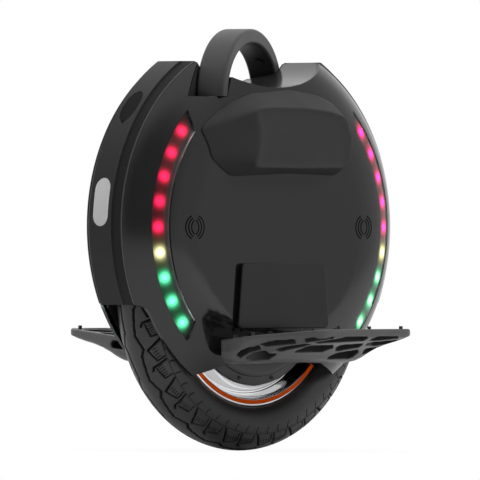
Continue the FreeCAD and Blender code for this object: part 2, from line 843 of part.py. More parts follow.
def pedal_plan():
    corners = [Vector(*pedal_spot(spot), 0) for spot in plan_corners]
    plan = Part.Face(Part.Wire(closed_lines(corners))).extrude(Vector(0, 0, reach))
    for corner, radius in zip(corners, plan_radii):
        upright = [e for e in plan.Edges
                   if all(math.hypot(v.X - corner.x, v.Y - corner.y) < 0.01 for v in e.Vertexes)]
        plan = plan.makeFillet(radius, upright)
    return plan


def pedal_slant():
    # the room above the underside beside the slanted edge, its profile square to that edge
    start = Vector(*pedal_spot(slant_start), 0)
    run = Vector(*pedal_spot(slant_end), 0) - start
    inward = Vector(-run.y, run.x, 0).normalize()
    run.z = run.y * pedal_slope
    points = []
    for inset, depth in slant_underside:
        spot = start + inward * inset
        points.append(Vector(spot.x, spot.y, pedal_top(spot.y) - depth))
    points += [Vector(point.x, point.y, reach) for point in (points[-1], points[0])]
    return Part.Face(Part.Wire(closed_lines(points))).translated(run * -2).extrude(run * 5)


def pedal_blank():
    stations = []
    for step in pedal_end_steps:
        rounding = math.sqrt(1 - (1 - step) ** 2)
        share = pedal_end_share + (1 - pedal_end_share) * rounding
        stations.append((pedal_half_length - step * pedal_end_round, share))
    stations += [(-x, share) for x, share in reversed(stations)]
    body = Part.makeLoft([pedal_section(x, share) for x, share in stations], True, True)
    return body.common(pedal_slant()).common(pedal_plan())


def slot_x(run, half_height, x0, x1):
    # a round-ended slot sunk along X
    ends = [Vector(x0, y, z) for y, z in run]
    rise = (ends[1] - ends[0]).normalize()
    side = Vector(0, -rise.z, rise.y) * half_height
    ring = [ends[0] + side, ends[1] + side, ends[1] - side, ends[0] - side]
    bar = Part.Face(Part.Wire(closed_lines(ring))).extrude(Vector(x1 - x0, 0, 0))
    return union([bar] + [rod_x(y, z, half_height, x0, x1) for y, z in run])


def pedal():
    body = pedal_blank()
    cuts = [rounded_prism([Vector(*pedal_spot(spot), 0) for spot in corners], pedal_opening_corner,
                          Vector(0, 0, reach)) for corners in opening_corners]
    notch = knuckle_half_width + seat_gap
    cuts.append(box(-notch, notch, 0, hinge_reach + knuckle_radius + knuckle_room, 0, reach))
    cuts.append(rod_x(hinge_reach, hinge_height, hinge_pin_radius + running_clearance, -reach, reach))
    floor = pedal_half_length - end_pocket_depth
    cuts.append(slot_x(rear_pocket, rear_pocket_half_height, -reach, -floor))
    for x, y in map(pedal_spot, stud_places):
        cuts.append(rod_z(x, y, stud_radius + close_clearance, pedal_top(y) - stud_depth, reach))
    for cut in cuts:
        body = body.cut(cut)
    return body


def pedal_studs():
    return Part.makeCompound([rod_z(x, y, stud_radius, pedal_top(y) - stud_depth, pedal_top(y) + stud_height)
                              for x, y in map(pedal_spot, stud_places)])


# Handle and its telescoping tubes

def tube_pair(outer, inner, foot, head):
    tube = rod_z(leg_foot.x, leg_foot.y, outer, foot, head)
    if inner:
        tube = tube.cut(rod_z(leg_foot.x, leg_foot.y, inner, 0, reach * 2))
    return Part.makeCompound([tube, half_turn(tube)])


middle_radius = tube_radius - tube_wall - tube_clearance
inner_radius = middle_radius - tube_wall - tube_clearance


def trolley_outer_tubes():
    return tube_pair(tube_radius, tube_radius - tube_wall, tube_foot, pocket_floor - pocket_wall)


def trolley_middle_tubes():
    return tube_pair(middle_radius, middle_radius - tube_wall, tube_foot + tube_step,
                     pocket_floor - seat_gap)


def trolley_inner_tubes():
    return tube_pair(inner_radius, 0, tube_foot + 2 * tube_step, pocket_floor + leg_gap)


def half_ellipse(span, rise, base, y):
    shape = Part.Ellipse(Vector(0, 0, 0), span, rise).toShape(0, math.pi)
    shape.rotate(Vector(0, 0, 0), Vector(1, 0, 0), 90)
    shape.translate(Vector(0, y, base))
    return shape


def release_frame():
    # where the release button sits on the arch's underside, and the way it is pressed
    span = handle_half_span - handle_thickness
    rise = handle_rise - handle_thickness
    turn = math.radians(release_angle)
    spot = Vector(-span * math.cos(turn), 0, pocket_floor + leg_gap + rise * math.sin(turn))
    way = Vector(-math.cos(turn) / span, 0, math.sin(turn) / rise).normalize()
    return spot, way


def handle_arch():
    base = pocket_floor + leg_gap
    y = -handle_width / 2
    span = handle_half_span - handle_thickness
    rise = handle_rise - handle_thickness
    outer = half_ellipse(handle_half_span, handle_rise, base, y)
    inner = half_ellipse(span, rise, base, y)
    ends = [line(Vector(sign * span, y, base), Vector(sign * handle_half_span, y, base)) for sign in (1, -1)]
    face = Part.Face(Part.Wire(Part.__sortEdges__([outer, inner] + ends)))
    arch = face.extrude(Vector(0, handle_width, 0))
    curved = [e for e in arch.Edges if e.Length > handle_half_span]
    arch = arch.makeFillet(handle_edge, curved)
    spot, way = release_frame()
    hole = Part.makeCylinder(release_radius + seat_gap, release_height + release_travel_room,
                             spot - way * release_proud, way)
    return on_diagonal(arch.cut(hole))


def release_button():
    spot, way = release_frame()
    button = Part.makeCylinder(release_radius, release_height, spot - way * release_proud, way)
    return on_diagonal(button)


def power_button():
    head = scoop_floor + power_button_proud
    return rod_z(0, power_button_offset, power_button_radius, head - power_button_height, head)


# Batteries and electronics

def battery():
    block = box(battery_rear, battery_front, fender_half_width + seat_gap,
                fender_half_width + seat_gap + battery_thickness, battery_bottom, battery_top)
    upright = [e for e in block.Edges if abs(e.Length - battery_thickness) < 0.01]
    return block.makeChamfer(battery_edge, upright)


sink_floor = axle_height + fender_outer_radius + seat_gap


def heat_sink():
    return box(-heat_sink_half_length, heat_sink_half_length, -heat_sink_half_width, heat_sink_half_width,
               sink_floor, sink_floor + heat_sink_thickness)


def control_board():
    floor = sink_floor + heat_sink_thickness
    top = floor + board_thickness
    board = box(-heat_sink_half_length, heat_sink_half_length, -heat_sink_half_width, heat_sink_half_width,
                floor, top)
    row = heat_sink_half_length - 2 * capacitor_radius
    side = heat_sink_half_width - capacitor_radius - capacitor_edge
    cans = [rod_z(x, side, capacitor_radius, top, top + capacitor_height) for x in (-row, 0, row)]
    return union([board] + cans)


def speakers():
    front = dome_points(cover_wall + seat_gap)
    radius = speaker_place + speaker_radius
    run = radius - front[0][0]
    depth = crown_arc - cover_wall - seat_gap
    face = front[0][1] - depth + math.sqrt(depth ** 2 - run ** 2)
    cone = rod_y(speaker_place, shell_height, speaker_radius, face - speaker_depth, face)
    return Part.makeCompound([cone, rear_of(cone)])


left_only = {
    "side_cover": side_cover(),
    "knee_pad": knee_pad(),
    "rest_plate": rest_plate(),
    "battery": battery(),
    "speakers": speakers(),
    "pedal_hanger": pedal_hanger(),
    "pedal_pin": pedal_pin(),
    "pedal": pedal(),
    "pedal_studs": pedal_studs(),
    "hub_cover": hub_cover(),
}
front_only = {"led_lens": strip_lens_front(), "led_board": strip_board_front()}

nodes = {
    "inner_fender": inner_fender(),
    "spine_cover_front": spine_cover(True),
    "spine_cover_rear": half_turn(spine_cover(False)),
    "top_cover": top_cover(),
    "handle_pockets": handle_pockets(),
    "cover_screws": cover_screws(),
    "headlight_lens": lamp_lens_front(),
    "headlight_board": lamp_board_front(),
    "taillight_lens": half_turn(lamp_lens_front()),
    "taillight_board": half_turn(lamp_board_front()),
    "charge_cap": charge_cap(),
    "charge_inlet": charge_inlet(),
    "tyre": tyre(),
    "rim": rim(),
    "rim_stripes": rim_stripes(),
    "bearings": bearings(),
    "magnet_ring": magnet_ring(),
    "stator": stator(),
    "valve_stem": valve_stem(),
    "axle": axle(),
    "axle_nuts": axle_nuts(),
    "trolley_outer_tubes": trolley_outer_tubes(),
    "trolley_middle_tubes": trolley_middle_tubes(),
    "trolley_inner_tubes": trolley_inner_tubes(),
    "handle_arch": handle_arch(),
    "release_button": release_button(),
    "power_button": power_button(),
    "heat_sink": heat_sink(),
    "control_board": control_board(),
}
for name, shape in left_only.items():
    nodes[name + "_left"] = shape
    nodes[name + "_right"] = half_turn(shape)
for name, shape in front_only.items():
    nodes[name + "_left_front"] = shape
    nodes[name + "_left_rear"] = rear_of(shape)
    nodes[name + "_right_rear"] = half_turn(shape)
    nodes[name + "_right_front"] = half_turn(rear_of(shape))

os.makedirs("parts", exist_ok=True)
for name, shape in nodes.items():
    shape.exportStep("parts/" + name + ".step")
    print(name, "solids", len(shape.Solids), "valid", shape.isValid(), "volume", round(shape.Volume))
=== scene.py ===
import json
import math

import bmesh
import bpy
import numpy as np
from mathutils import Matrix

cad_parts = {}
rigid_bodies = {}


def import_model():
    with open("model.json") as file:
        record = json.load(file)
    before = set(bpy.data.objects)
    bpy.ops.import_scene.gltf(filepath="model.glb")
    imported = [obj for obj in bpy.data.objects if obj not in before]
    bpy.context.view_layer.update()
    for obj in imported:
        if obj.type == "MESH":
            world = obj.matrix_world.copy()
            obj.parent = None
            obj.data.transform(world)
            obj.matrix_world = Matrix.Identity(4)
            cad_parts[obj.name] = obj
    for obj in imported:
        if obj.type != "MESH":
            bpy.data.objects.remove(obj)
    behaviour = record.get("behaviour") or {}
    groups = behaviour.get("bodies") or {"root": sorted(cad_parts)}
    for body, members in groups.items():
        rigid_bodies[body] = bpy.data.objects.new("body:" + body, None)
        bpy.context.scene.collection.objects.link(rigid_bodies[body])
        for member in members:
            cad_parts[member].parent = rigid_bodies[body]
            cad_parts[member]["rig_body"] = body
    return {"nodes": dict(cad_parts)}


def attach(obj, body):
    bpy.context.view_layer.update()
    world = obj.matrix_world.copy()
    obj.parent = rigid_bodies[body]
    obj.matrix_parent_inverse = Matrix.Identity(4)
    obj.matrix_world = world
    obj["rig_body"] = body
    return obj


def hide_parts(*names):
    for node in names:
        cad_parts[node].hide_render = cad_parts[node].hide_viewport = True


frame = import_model()
nodes = frame["nodes"]
scene = bpy.context.scene
scene.view_settings.view_transform = "Standard"
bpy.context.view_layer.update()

# All shapes below are worked out in millimetres; newPiece writes them in metres.

millimetre = 0.001
plainWhite = (1, 1, 1, 1)
studio = {
    "azimuth": 136.5, "aimHeight": 273.6, "frameWidth": 623.8, "lens": 1000.0, "sensor": 36.0,
    "shift": 0.00052, "farthest": 200.0, "worldFill": 0.12, "floorSize": 60.0, "floorGrey": 0.6,
    "shadowFrom": 0.1, "shadowTo": 0.5, "shadowKeep": 0.95,
    "mirrorFrom": 0.5, "mirrorTo": 4.0, "mirrorKeep": 0.15,
    # heading and rise in degrees, cosines of the outer and inner edge, share taken
    "dimPatches": [(58.0, 12.0, 0.6, 0.95, 0.72), (140.0, 6.0, 0.6, 0.92, 0.34)],
}
# name: place in metres, point aimed at, size of the panel in metres, power in watts
softLights = {
    "keyPanel": ((-1.5, 2.7, 2.3), (0, 0, 0.3), 1.6, 140),
    "backPanel": ((1.4, -2.6, 2.2), (0, 0, 0.3), 1.6, 120),
    "topPanel": ((0.2, 0.0, 3.2), (0, 0, 0.2), 2.0, 75),
}


def addNode(tree, kind, inputs=None, mode=None):
    # a shader node: its operation or data type first, then each input linked to a socket or set to a value
    node = tree.nodes.new("ShaderNode" + kind)
    if mode and kind == "Mix":
        node.data_type = mode
    elif mode:
        node.operation = mode
    for name, value in (inputs or {}).items():
        if isinstance(value, bpy.types.NodeSocket):
            tree.links.new(value, node.inputs[name])
        else:
            node.inputs[name].default_value = value
    return node


def lightPathWhite(tree):
    # 1 for rays that should see the plain white backdrop, 0 for rays that only light the object
    path = addNode(tree, "LightPath").outputs
    direct = addNode(tree, "Math", {0: path["Is Camera Ray"], 1: path["Is Glossy Ray"]}, "MAXIMUM")
    return addNode(tree, "Math", {0: direct.outputs[0], 1: path["Is Transmission Ray"]}, "MAXIMUM").outputs[0]


def dimPatch(tree, direction):
    # what mirrors see: 1 all round, less toward a few headings, as if the room were darker there
    kept = 1.0
    for heading, rise, outer, inner, taken in studio["dimPatches"]:
        heading, rise = math.radians(heading), math.radians(rise)
        aim = (math.cos(heading) * math.cos(rise), math.sin(heading) * math.cos(rise), math.sin(rise))
        toward = addNode(tree, "VectorMath", {0: direction, 1: aim}, "DOT_PRODUCT")
        level = addNode(tree, "MapRange", {"Value": toward.outputs["Value"], "From Min": outer,
                                           "From Max": inner, "To Min": 1.0, "To Max": 1.0 - taken})
        level.interpolation_type = "SMOOTHSTEP"
        kept = addNode(tree, "Math", {0: kept, 1: level.outputs["Result"]}, "MULTIPLY").outputs[0]
    return kept


def setCamera():
    turn = math.radians(studio["azimuth"])
    away = studio["frameWidth"] * millimetre * studio["lens"] / studio["sensor"]
    camera = bpy.data.objects.new("camera", bpy.data.cameras.new("camera"))
    camera.data.lens = studio["lens"]
    camera.data.sensor_width = studio["sensor"]
    camera.data.shift_x = studio["shift"]
    camera.data.clip_end = studio["farthest"]
    camera.location = (away * math.sin(turn), -away * math.cos(turn), studio["aimHeight"] * millimetre)
    camera.rotation_euler = (math.pi / 2, 0, turn)
    scene.collection.objects.link(camera)
    scene.camera = camera


def setWorld():
    world = bpy.data.worlds.new("studioWorld")
    scene.world = world
    world.use_nodes = True
    tree = world.node_tree
    tree.nodes.clear()
    dimmed = dimPatch(tree, addNode(tree, "TexCoord").outputs["Generated"])
    mirror = addNode(tree, "LightPath").outputs["Is Glossy Ray"]
    level = addNode(tree, "Mix", {"Factor": mirror, "A": 1.0, "B": dimmed})
    seen = addNode(tree, "Background", {"Color": plainWhite, "Strength": level.outputs["Result"]})
    fill = addNode(tree, "Background", {"Color": plainWhite, "Strength": studio["worldFill"]})
    mix = addNode(tree, "MixShader", {0: lightPathWhite(tree), 1: fill.outputs[0], 2: seen.outputs[0]})
    addNode(tree, "OutputWorld", {"Surface": mix.outputs[0]})


def setFloor():
    half = studio["floorSize"]
    mesh = bpy.data.meshes.new("studioFloor")
    corners = [(-half, -half, 0), (half, -half, 0), (half, half, 0), (-half, half, 0)]
    mesh.from_pydata(corners, [], [(0, 1, 2, 3)])
    floor = bpy.data.objects.new("studioFloor", mesh)
    scene.collection.objects.link(floor)
    paint = bpy.data.materials.new("floorPaint")
    paint.use_nodes = True
    tree = paint.node_tree
    tree.nodes.clear()
    place = addNode(tree, "TexCoord").outputs["Object"]
    reach = addNode(tree, "VectorMath", {0: place}, "LENGTH").outputs["Value"]
    # the shadow shows near the wheel and is gone further out
    fade = addNode(tree, "MapRange", {"Value": reach, "From Min": studio["shadowFrom"],
                                      "From Max": studio["shadowTo"], "To Min": studio["shadowKeep"]})
    # mirrors see a greyer floor close by
    near = addNode(tree, "MapRange", {"Value": reach, "From Min": studio["mirrorFrom"],
                                      "From Max": studio["mirrorTo"], "To Min": studio["mirrorKeep"]})
    unit = addNode(tree, "VectorMath", {0: place}, "NORMALIZE").outputs[0]
    kept = addNode(tree, "Math", {0: near.outputs["Result"], 1: dimPatch(tree, unit)}, "MULTIPLY")
    mirror = addNode(tree, "LightPath").outputs["Is Glossy Ray"]
    which = addNode(tree, "Mix", {"Factor": mirror, "A": fade.outputs["Result"], "B": kept.outputs[0]})
    share = addNode(tree, "Math", {0: lightPathWhite(tree), 1: which.outputs["Result"]}, "MULTIPLY")
    matt = addNode(tree, "BsdfDiffuse", {"Color": (studio["floorGrey"],) * 3 + (1,)})
    bright = addNode(tree, "Emission", {"Strength": 1.0})
    mix = addNode(tree, "MixShader", {0: share.outputs[0], 1: matt.outputs[0], 2: bright.outputs[0]})
    addNode(tree, "OutputMaterial", {"Surface": mix.outputs[0]})
    mesh.materials.append(paint)


def setLights():
    for name, (place, aim, size, power) in softLights.items():
        lamp = bpy.data.lights.new(name, "AREA")
        lamp.shape = "DISK"
        lamp.size = size
        lamp.energy = power
        holder = bpy.data.objects.new(name, lamp)
        away = np.array(place) - np.array(aim)
        holder.location = place
        flat = math.hypot(away[0], away[1])
        holder.rotation_euler = (math.atan2(flat, away[2]), 0, math.atan2(away[0], -away[1]))
        holder.visible_glossy = False
        scene.collection.objects.link(holder)


setCamera()
setWorld()
setFloor()
setLights()
print("studio: camera, floor and", len(softLights), "lights")


# Finishes: each texture group gives back a Height for the bump and a Mottle for colour and dullness

def newGroup(name, inputs):
    tree = bpy.data.node_groups.new(name, "ShaderNodeTree")
    for socket in inputs:
        tree.interface.new_socket(socket, in_out="INPUT", socket_type="NodeSocketFloat")
    for socket in ("Height", "Mottle"):
        tree.interface.new_socket(socket, in_out="OUTPUT", socket_type="NodeSocketFloat")
    return tree, tree.nodes.new("NodeGroupInput").outputs, addNode(tree, "TexCoord").outputs["Object"]


def closeGroup(tree, height, mottle):
    made = tree.nodes.new("NodeGroupOutput")
    tree.links.new(height.outputs["Fac"], made.inputs["Height"])
    tree.links.new(mottle.outputs["Fac"], made.inputs["Mottle"])
    return tree


def makeGrain():
    # a fine pebbled skin, and a slow cloud that uncovers handling marks
    tree, given, place = newGroup("mouldGrain", ["Grain Scale", "Cloud Scale"])
    fine = addNode(tree, "TexNoise", {"Vector": place, "Scale": given["Grain Scale"], "Detail": 3.0})
    cloud = addNode(tree, "TexNoise", {"Vector": place, "Scale": given["Cloud Scale"], "Detail": 5.0,
                                       "Roughness": 0.6})
    return closeGroup(tree, fine, cloud)


def makeTurned():
    # rings about the axle: noise read along the distance from the axle, and a little along the axle
    tree, given, place = newGroup("turnedRings", ["Ring Scale", "Axle Height"])
    parts = addNode(tree, "SeparateXYZ", {0: place}).outputs
    drop = addNode(tree, "Math", {0: parts["Z"], 1: given["Axle Height"]}, "SUBTRACT")
    spoke = addNode(tree, "CombineXYZ", {"X": parts["X"], "Y": drop.outputs[0]})
    reach = addNode(tree, "VectorMath", {0: spoke.outputs[0]}, "LENGTH")
    line = addNode(tree, "CombineXYZ", {"X": reach.outputs["Value"], "Y": parts["Y"]})
    noise = addNode(tree, "TexNoise", {"Vector": line.outputs[0], "Scale": given["Ring Scale"],
                                       "Detail": 4.0})
    cloud = addNode(tree, "TexNoise", {"Vector": place, "Scale": 14.0})
    return closeGroup(tree, noise, cloud)


def makeBrushed():
    # scratches drawn out along Z: noise on coordinates squeezed along that axis
    tree, given, place = newGroup("brushedLength", ["Line Scale"])
    squeeze = addNode(tree, "Mapping", {"Vector": place, "Scale": (1.0, 1.0, 0.015)})
    noise = addNode(tree, "TexNoise", {"Vector": squeeze.outputs[0], "Scale": given["Line Scale"],
                                       "Detail": 4.0})
    cloud = addNode(tree, "TexNoise", {"Vector": place, "Scale": 20.0})
    return closeGroup(tree, noise, cloud)


textures = {"grain": makeGrain(), "turned": makeTurned(), "brushed": makeBrushed()}

# dark and light colour, roughness pair, texture with its scales, bump in millimetres, the shader's own values
finishTable = {
    "shellGloss": ((0.0035, 0.0035, 0.0037), (0.0065, 0.0065, 0.007), (0.07, 0.12),
                   "grain", (260.0, 9.0), 0.004, {"IOR": 1.5}),
    "plateGloss": ((0.003, 0.003, 0.0032), (0.0055, 0.0055, 0.006), (0.13, 0.2),
                   "grain", (420.0, 14.0), 0.006, {"IOR": 1.44}),
    "spineSatin": ((0.005, 0.005, 0.0053), (0.008, 0.008, 0.0083), (0.26, 0.36),
                   "grain", (1500.0, 12.0), 0.012, {"IOR": 1.27}),
    "scoopSatin": ((0.011, 0.011, 0.0115), (0.017, 0.017, 0.0175), (0.16, 0.24),
                   "grain", (1500.0, 12.0), 0.014, {"IOR": 1.62}),
    "fenderPlastic": ((0.008, 0.008, 0.0085), (0.014, 0.014, 0.0145), (0.5, 0.65),
                      "grain", (900.0, 16.0), 0.03, {"IOR": 1.4}),
    "handleSatin": ((0.028, 0.028, 0.0286), (0.037, 0.037, 0.0376), (0.4, 0.5),
                    "grain", (1700.0, 18.0), 0.014, {"IOR": 1.33}),
    "kneeFoam": ((0.0235, 0.0235, 0.0239), (0.0335, 0.0335, 0.0339), (0.62, 0.78),
                 "grain", (1300.0, 11.0), 0.05, {"IOR": 1.16}),
    "rimPolish": ((0.82, 0.82, 0.83), (0.9, 0.9, 0.91), (0.05, 0.1),
                  "turned", (900.0, 0.203), 0.002, {"Metallic": 1.0}),
    "stripePaint": ((0.74, 0.083, 0.0), (0.84, 0.1, 0.0), (0.4, 0.5),
                    "turned", (500.0, 0.203), 0.002, {"IOR": 1.15}),
    "hubPaint": ((0.03, 0.03, 0.031), (0.042, 0.042, 0.043), (0.4, 0.5),
                 "turned", (700.0, 0.203), 0.006, {"IOR": 1.5}),
    "studBlack": ((0.006, 0.006, 0.006), (0.011, 0.011, 0.011), (0.3, 0.42),
                  "grain", (900.0, 60.0), 0.01, {"IOR": 1.5}),
    "hangerAnodised": ((0.03, 0.03, 0.031), (0.045, 0.045, 0.046), (0.32, 0.44),
                       "brushed", (900.0,), 0.004, {"Metallic": 0.8}),
    "tubeAluminium": ((0.6, 0.6, 0.61), (0.7, 0.7, 0.71), (0.24, 0.36),
                      "brushed", (1400.0,), 0.004, {"Metallic": 1.0}),
    "turnedSteel": ((0.46, 0.46, 0.47), (0.56, 0.56, 0.57), (0.22, 0.34),
                    "turned", (800.0, 0.203), 0.004, {"Metallic": 1.0}),
    "lampLens": ((0.33, 0.33, 0.335), (0.4, 0.4, 0.405), (0.12, 0.2),
                 "grain", (500.0, 40.0), 0.004, {"IOR": 1.49, "Coat Weight": 0.4}),
    "capRubber": ((0.002, 0.002, 0.002), (0.004, 0.004, 0.004), (0.5, 0.64),
                  "grain", (1200.0, 40.0), 0.02, {"IOR": 1.17}),
    "socketBlack": ((0.008, 0.008, 0.008), (0.013, 0.013, 0.013), (0.4, 0.5),
                    "grain", (1200.0, 40.0), 0.012, {"IOR": 1.48}),
    "buttonSatin": ((0.02, 0.02, 0.0205), (0.03, 0.03, 0.0305), (0.24, 0.32),
                    "grain", (900.0, 60.0), 0.006, {"IOR": 1.5}),
    "boardMask": ((0.006, 0.016, 0.009), (0.01, 0.026, 0.014), (0.3, 0.4),
                  "grain", (700.0, 60.0), 0.01, {"IOR": 1.5}),
    "batteryWrap": ((0.006, 0.012, 0.045), (0.01, 0.02, 0.065), (0.26, 0.36),
                    "grain", (160.0, 20.0), 0.06, {"IOR": 1.5}),
    "magnetNickel": ((0.4, 0.4, 0.41), (0.5, 0.5, 0.51), (0.3, 0.4),
                     "turned", (500.0, 0.203), 0.004, {"Metallic": 1.0}),
    "statorIron": ((0.16, 0.07, 0.03), (0.24, 0.11, 0.05), (0.4, 0.55),
                   "turned", (300.0, 0.203), 0.05, {"Metallic": 0.6}),
    # painted highlight: lighter than the spine around it, standing for the lit seam ridge
    "beadPaintedHighlight": ((0.03, 0.03, 0.031), (0.04, 0.04, 0.041), (0.2, 0.28),
                  "grain", (1500.0, 12.0), 0.002, {"IOR": 1.55}),
    # print for the sound marks, and also painted shade for the charge cap's finger notch
    "inkAndNotchShade": ((0.001, 0.001, 0.001), (0.002, 0.002, 0.002), (0.45, 0.55),
                "grain", (900.0, 60.0), 0.004, {"IOR": 1.1}),
    "tyreRubber": ((0.016, 0.016, 0.0162), (0.031, 0.031, 0.0313), (0.42, 0.95),
                   "grain", (1100.0, 22.0), 0.02, {"IOR": 1.42}),
    "pedalCasting": ((0.052, 0.052, 0.0525), (0.069, 0.069, 0.0697), (0.4, 0.9),
                     "grain", (800.0, 20.0), 0.03, {"IOR": 1.42}),
}
# painted shade: these finishes darken toward this tone, and dull, where the attribute "sunk" marks a groove
# or opening
paintedHollowShade = {"finishes": ("tyreRubber", "pedalCasting"), "tone": (0.0015, 0.0015, 0.0015, 1)}
mottleSpan = (0.3, 0.7)  # the part of the cloud that the roughness pair is spread over
clearValues = {"Base Color": (0.96, 0.96, 0.96, 1), "Roughness": 0.03, "IOR": 1.18,
               "Transmission Weight": 1.0}
glowValues = {"Base Color": (0.012, 0.012, 0.012, 1), "Roughness": 0.35, "IOR": 1.1,
              "Emission Strength": 1.0}
glowThrow = 18.0  # the lamps throw more light on what is near than the lens shows


def newMaterial(name, values):
    material = bpy.data.materials.new(name)
    material.use_nodes = True
    shader = material.node_tree.nodes["Principled BSDF"]
    for socket, value in values.items():
        shader.inputs[socket].default_value = value
    return material, material.node_tree, shader


def makeFinish(name, dark, light, rough, texture, scales, bumpHeight, values):
    material, tree, shader = newMaterial(name, values)
    skin = tree.nodes.new("ShaderNodeGroup")
    skin.node_tree = textures[texture]
    for socket, value in zip(skin.inputs, scales):
        socket.default_value = value
    dullBy, span = skin.outputs["Mottle"], mottleSpan
    colour = addNode(tree, "Mix", {"Factor": dullBy, "A": dark + (1,), "B": light + (1,)}, "RGBA")
    # painted shade in the grooves and openings
    if name in paintedHollowShade["finishes"]:  # darker and duller where the attribute "sunk" marks a hollow
        sunk = addNode(tree, "Attribute")
        sunk.attribute_name = "sunk"
        dullBy, span = sunk.outputs["Fac"], (0.0, 1.0)
        colour = addNode(tree, "Mix", {"Factor": dullBy, "A": colour.outputs["Result"],
                                       "B": paintedHollowShade["tone"]}, "RGBA")
    dull = addNode(tree, "MapRange", {"Value": dullBy, "From Min": span[0], "From Max": span[1],
                                      "To Min": rough[0], "To Max": rough[1]})
    bump = addNode(tree, "Bump", {"Distance": bumpHeight * millimetre, "Strength": 1.0,
                                  "Height": skin.outputs["Height"]})
    tree.links.new(colour.outputs["Result"], shader.inputs["Base Color"])
    tree.links.new(dull.outputs["Result"], shader.inputs["Roughness"])
    tree.links.new(bump.outputs["Normal"], shader.inputs["Normal"])
    return material


def makeGlow():
    # the light strips carry their own lit colour, point by point, in the attribute "glow"
    material, tree, shader = newMaterial("stripGlow", glowValues)
    lit = addNode(tree, "Attribute")
    lit.attribute_name = "glow"
    diffuse = addNode(tree, "LightPath").outputs["Is Diffuse Ray"]
    power = addNode(tree, "MapRange", {"Value": diffuse, "To Min": 1.0, "To Max": glowThrow})
    scaled = addNode(tree, "VectorMath", {0: lit.outputs["Color"], "Scale": power.outputs["Result"]}, "SCALE")
    tree.links.new(scaled.outputs[0], shader.inputs["Emission Color"])
    return material


finishes = {name: makeFinish(name, *row) for name, row in finishTable.items()}
finishes["stripClear"] = newMaterial("stripClear", clearValues)[0]
finishes["stripGlow"] = makeGlow()
print("finishes:", len(finishes))


# Mesh tools

def gridQuads(rows, cols, closeRows, closeCols):
    # corners of each cell of a rows by cols grid; a closed way joins its last line to its first
    r = np.arange(rows if closeRows else rows - 1)
    c = np.arange(cols if closeCols else cols - 1)
    r, c = np.meshgrid(r, c, indexing="ij")
    nextR, nextC = (r + 1) % rows, (c + 1) % cols
    cells = [r * cols + c, r * cols + nextC, nextR * cols + nextC, nextR * cols + c]
    return np.stack(cells, -1).reshape(-1, 4)


def capped(rows, cols):
    # a tube of rows rings of cols points each, closed at both ends by a fan to one further point
    quads = gridQuads(rows, cols, False, True).tolist()
    first, last = rows * cols, rows * cols + 1
    around = np.arange(cols)
    following = (around + 1) % cols
    start = np.stack([np.full(cols, first), following, around], -1)
    end = np.stack([np.full(cols, last), around + (rows - 1) * cols, following + (rows - 1) * cols], -1)
    return quads + start.tolist() + end.tolist()


def tube(rings):
    # rings of points joined in order, with a point at the middle of the first and the last ring
    points = np.concatenate([rings.reshape(-1, 3), rings[:1].mean(1), rings[-1:].mean(1)])
    return points, capped(*rings.shape[:2])


def joinBlocks(blocks):
    # several shapes, each points and faces, as one
    points, faces, count = [], [], 0
    for block, quads in blocks:
        points.append(block)
        faces += [[i + count for i in quad] for quad in quads]
        count += len(block)
    return np.concatenate(points), faces


def lathe(profile, segments, height):
    # a closed profile of (distance along the axle, radius) carried round the axle
    profile = np.asarray(profile, float)
    turn = np.arange(segments)[:, None] * (2 * np.pi / segments)
    points = np.stack([profile[:, 1] * np.cos(turn), profile[:, 0] + 0 * turn,
                       height + profile[:, 1] * np.sin(turn)], -1)
    return points.reshape(-1, 3), gridQuads(segments, len(profile), True, True).tolist()


def fullCircle(steps, start=0.0):
    return np.radians(np.arange(steps) * 360.0 / steps + start)


def bell(values, spread):
    return np.exp(-0.5 * (values / spread) ** 2)


def halfTurn(points):
    return points * np.array([-1.0, -1.0, 1.0])


def bothSides(points):
    return (("left", points), ("right", halfTurn(points)))


def newPiece(name, points, faces, finish, body, standsFor=()):
    mesh = bpy.data.meshes.new(name)
    mesh.from_pydata((np.asarray(points, float).reshape(-1, 3) * millimetre).tolist(), [], faces)
    net = bmesh.new()
    net.from_mesh(mesh)
    bmesh.ops.recalc_face_normals(net, faces=net.faces)
    net.to_mesh(mesh)
    net.free()
    mesh.polygons.foreach_set("use_smooth", np.ones(len(mesh.polygons), bool))
    mesh.materials.append(finishes[finish])
    mesh.update()
    piece = bpy.data.objects.new(name, mesh)
    scene.collection.objects.link(piece)
    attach(piece, body)
    if standsFor:
        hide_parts(*standsFor)
    return piece


def setPointValues(piece, name, kind, field, values):
    layer = piece.data.attributes.new(name, kind, "POINT")
    layer.data.foreach_set(field, values.ravel().astype(np.float32))


def weldedArrays(nodeName):
    # a node's corners in millimetres with coincident ones joined, and its triangles
    mesh = nodes[nodeName].data
    corners = np.zeros(len(mesh.vertices) * 3)
    mesh.vertices.foreach_get("co", corners)
    mesh.calc_loop_triangles()
    triangles = np.zeros(len(mesh.loop_triangles) * 3, np.int64)
    mesh.loop_triangles.foreach_get("vertices", triangles)
    corners = corners.reshape(-1, 3) / millimetre
    keys = np.round(corners / weldReach).astype(np.int64)
    _, first, where = np.unique(keys, axis=0, return_index=True, return_inverse=True)
    triangles = where.reshape(-1)[triangles].reshape(-1, 3)
    whole = (triangles != np.roll(triangles, -1, 1)).all(1)
    return corners[first], triangles[whole]


def smoothCopy(name, nodeName, finish, slotName):
    # a CAD node's own shape, welded and shaded smooth between its real edges
    corners, triangles = weldedArrays(nodeName)
    body = nodes[nodeName]["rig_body"]
    piece = newPiece(name, corners, triangles.tolist(), finish, body, [nodeName])
    piece.data.set_sharp_from_angle(angle=math.radians(sharpAngle))
    weigh = piece.modifiers.new("weigh", "WEIGHTED_NORMAL")
    weigh.keep_sharp = True


# Plain copies of the moulded shell and the small hard parts

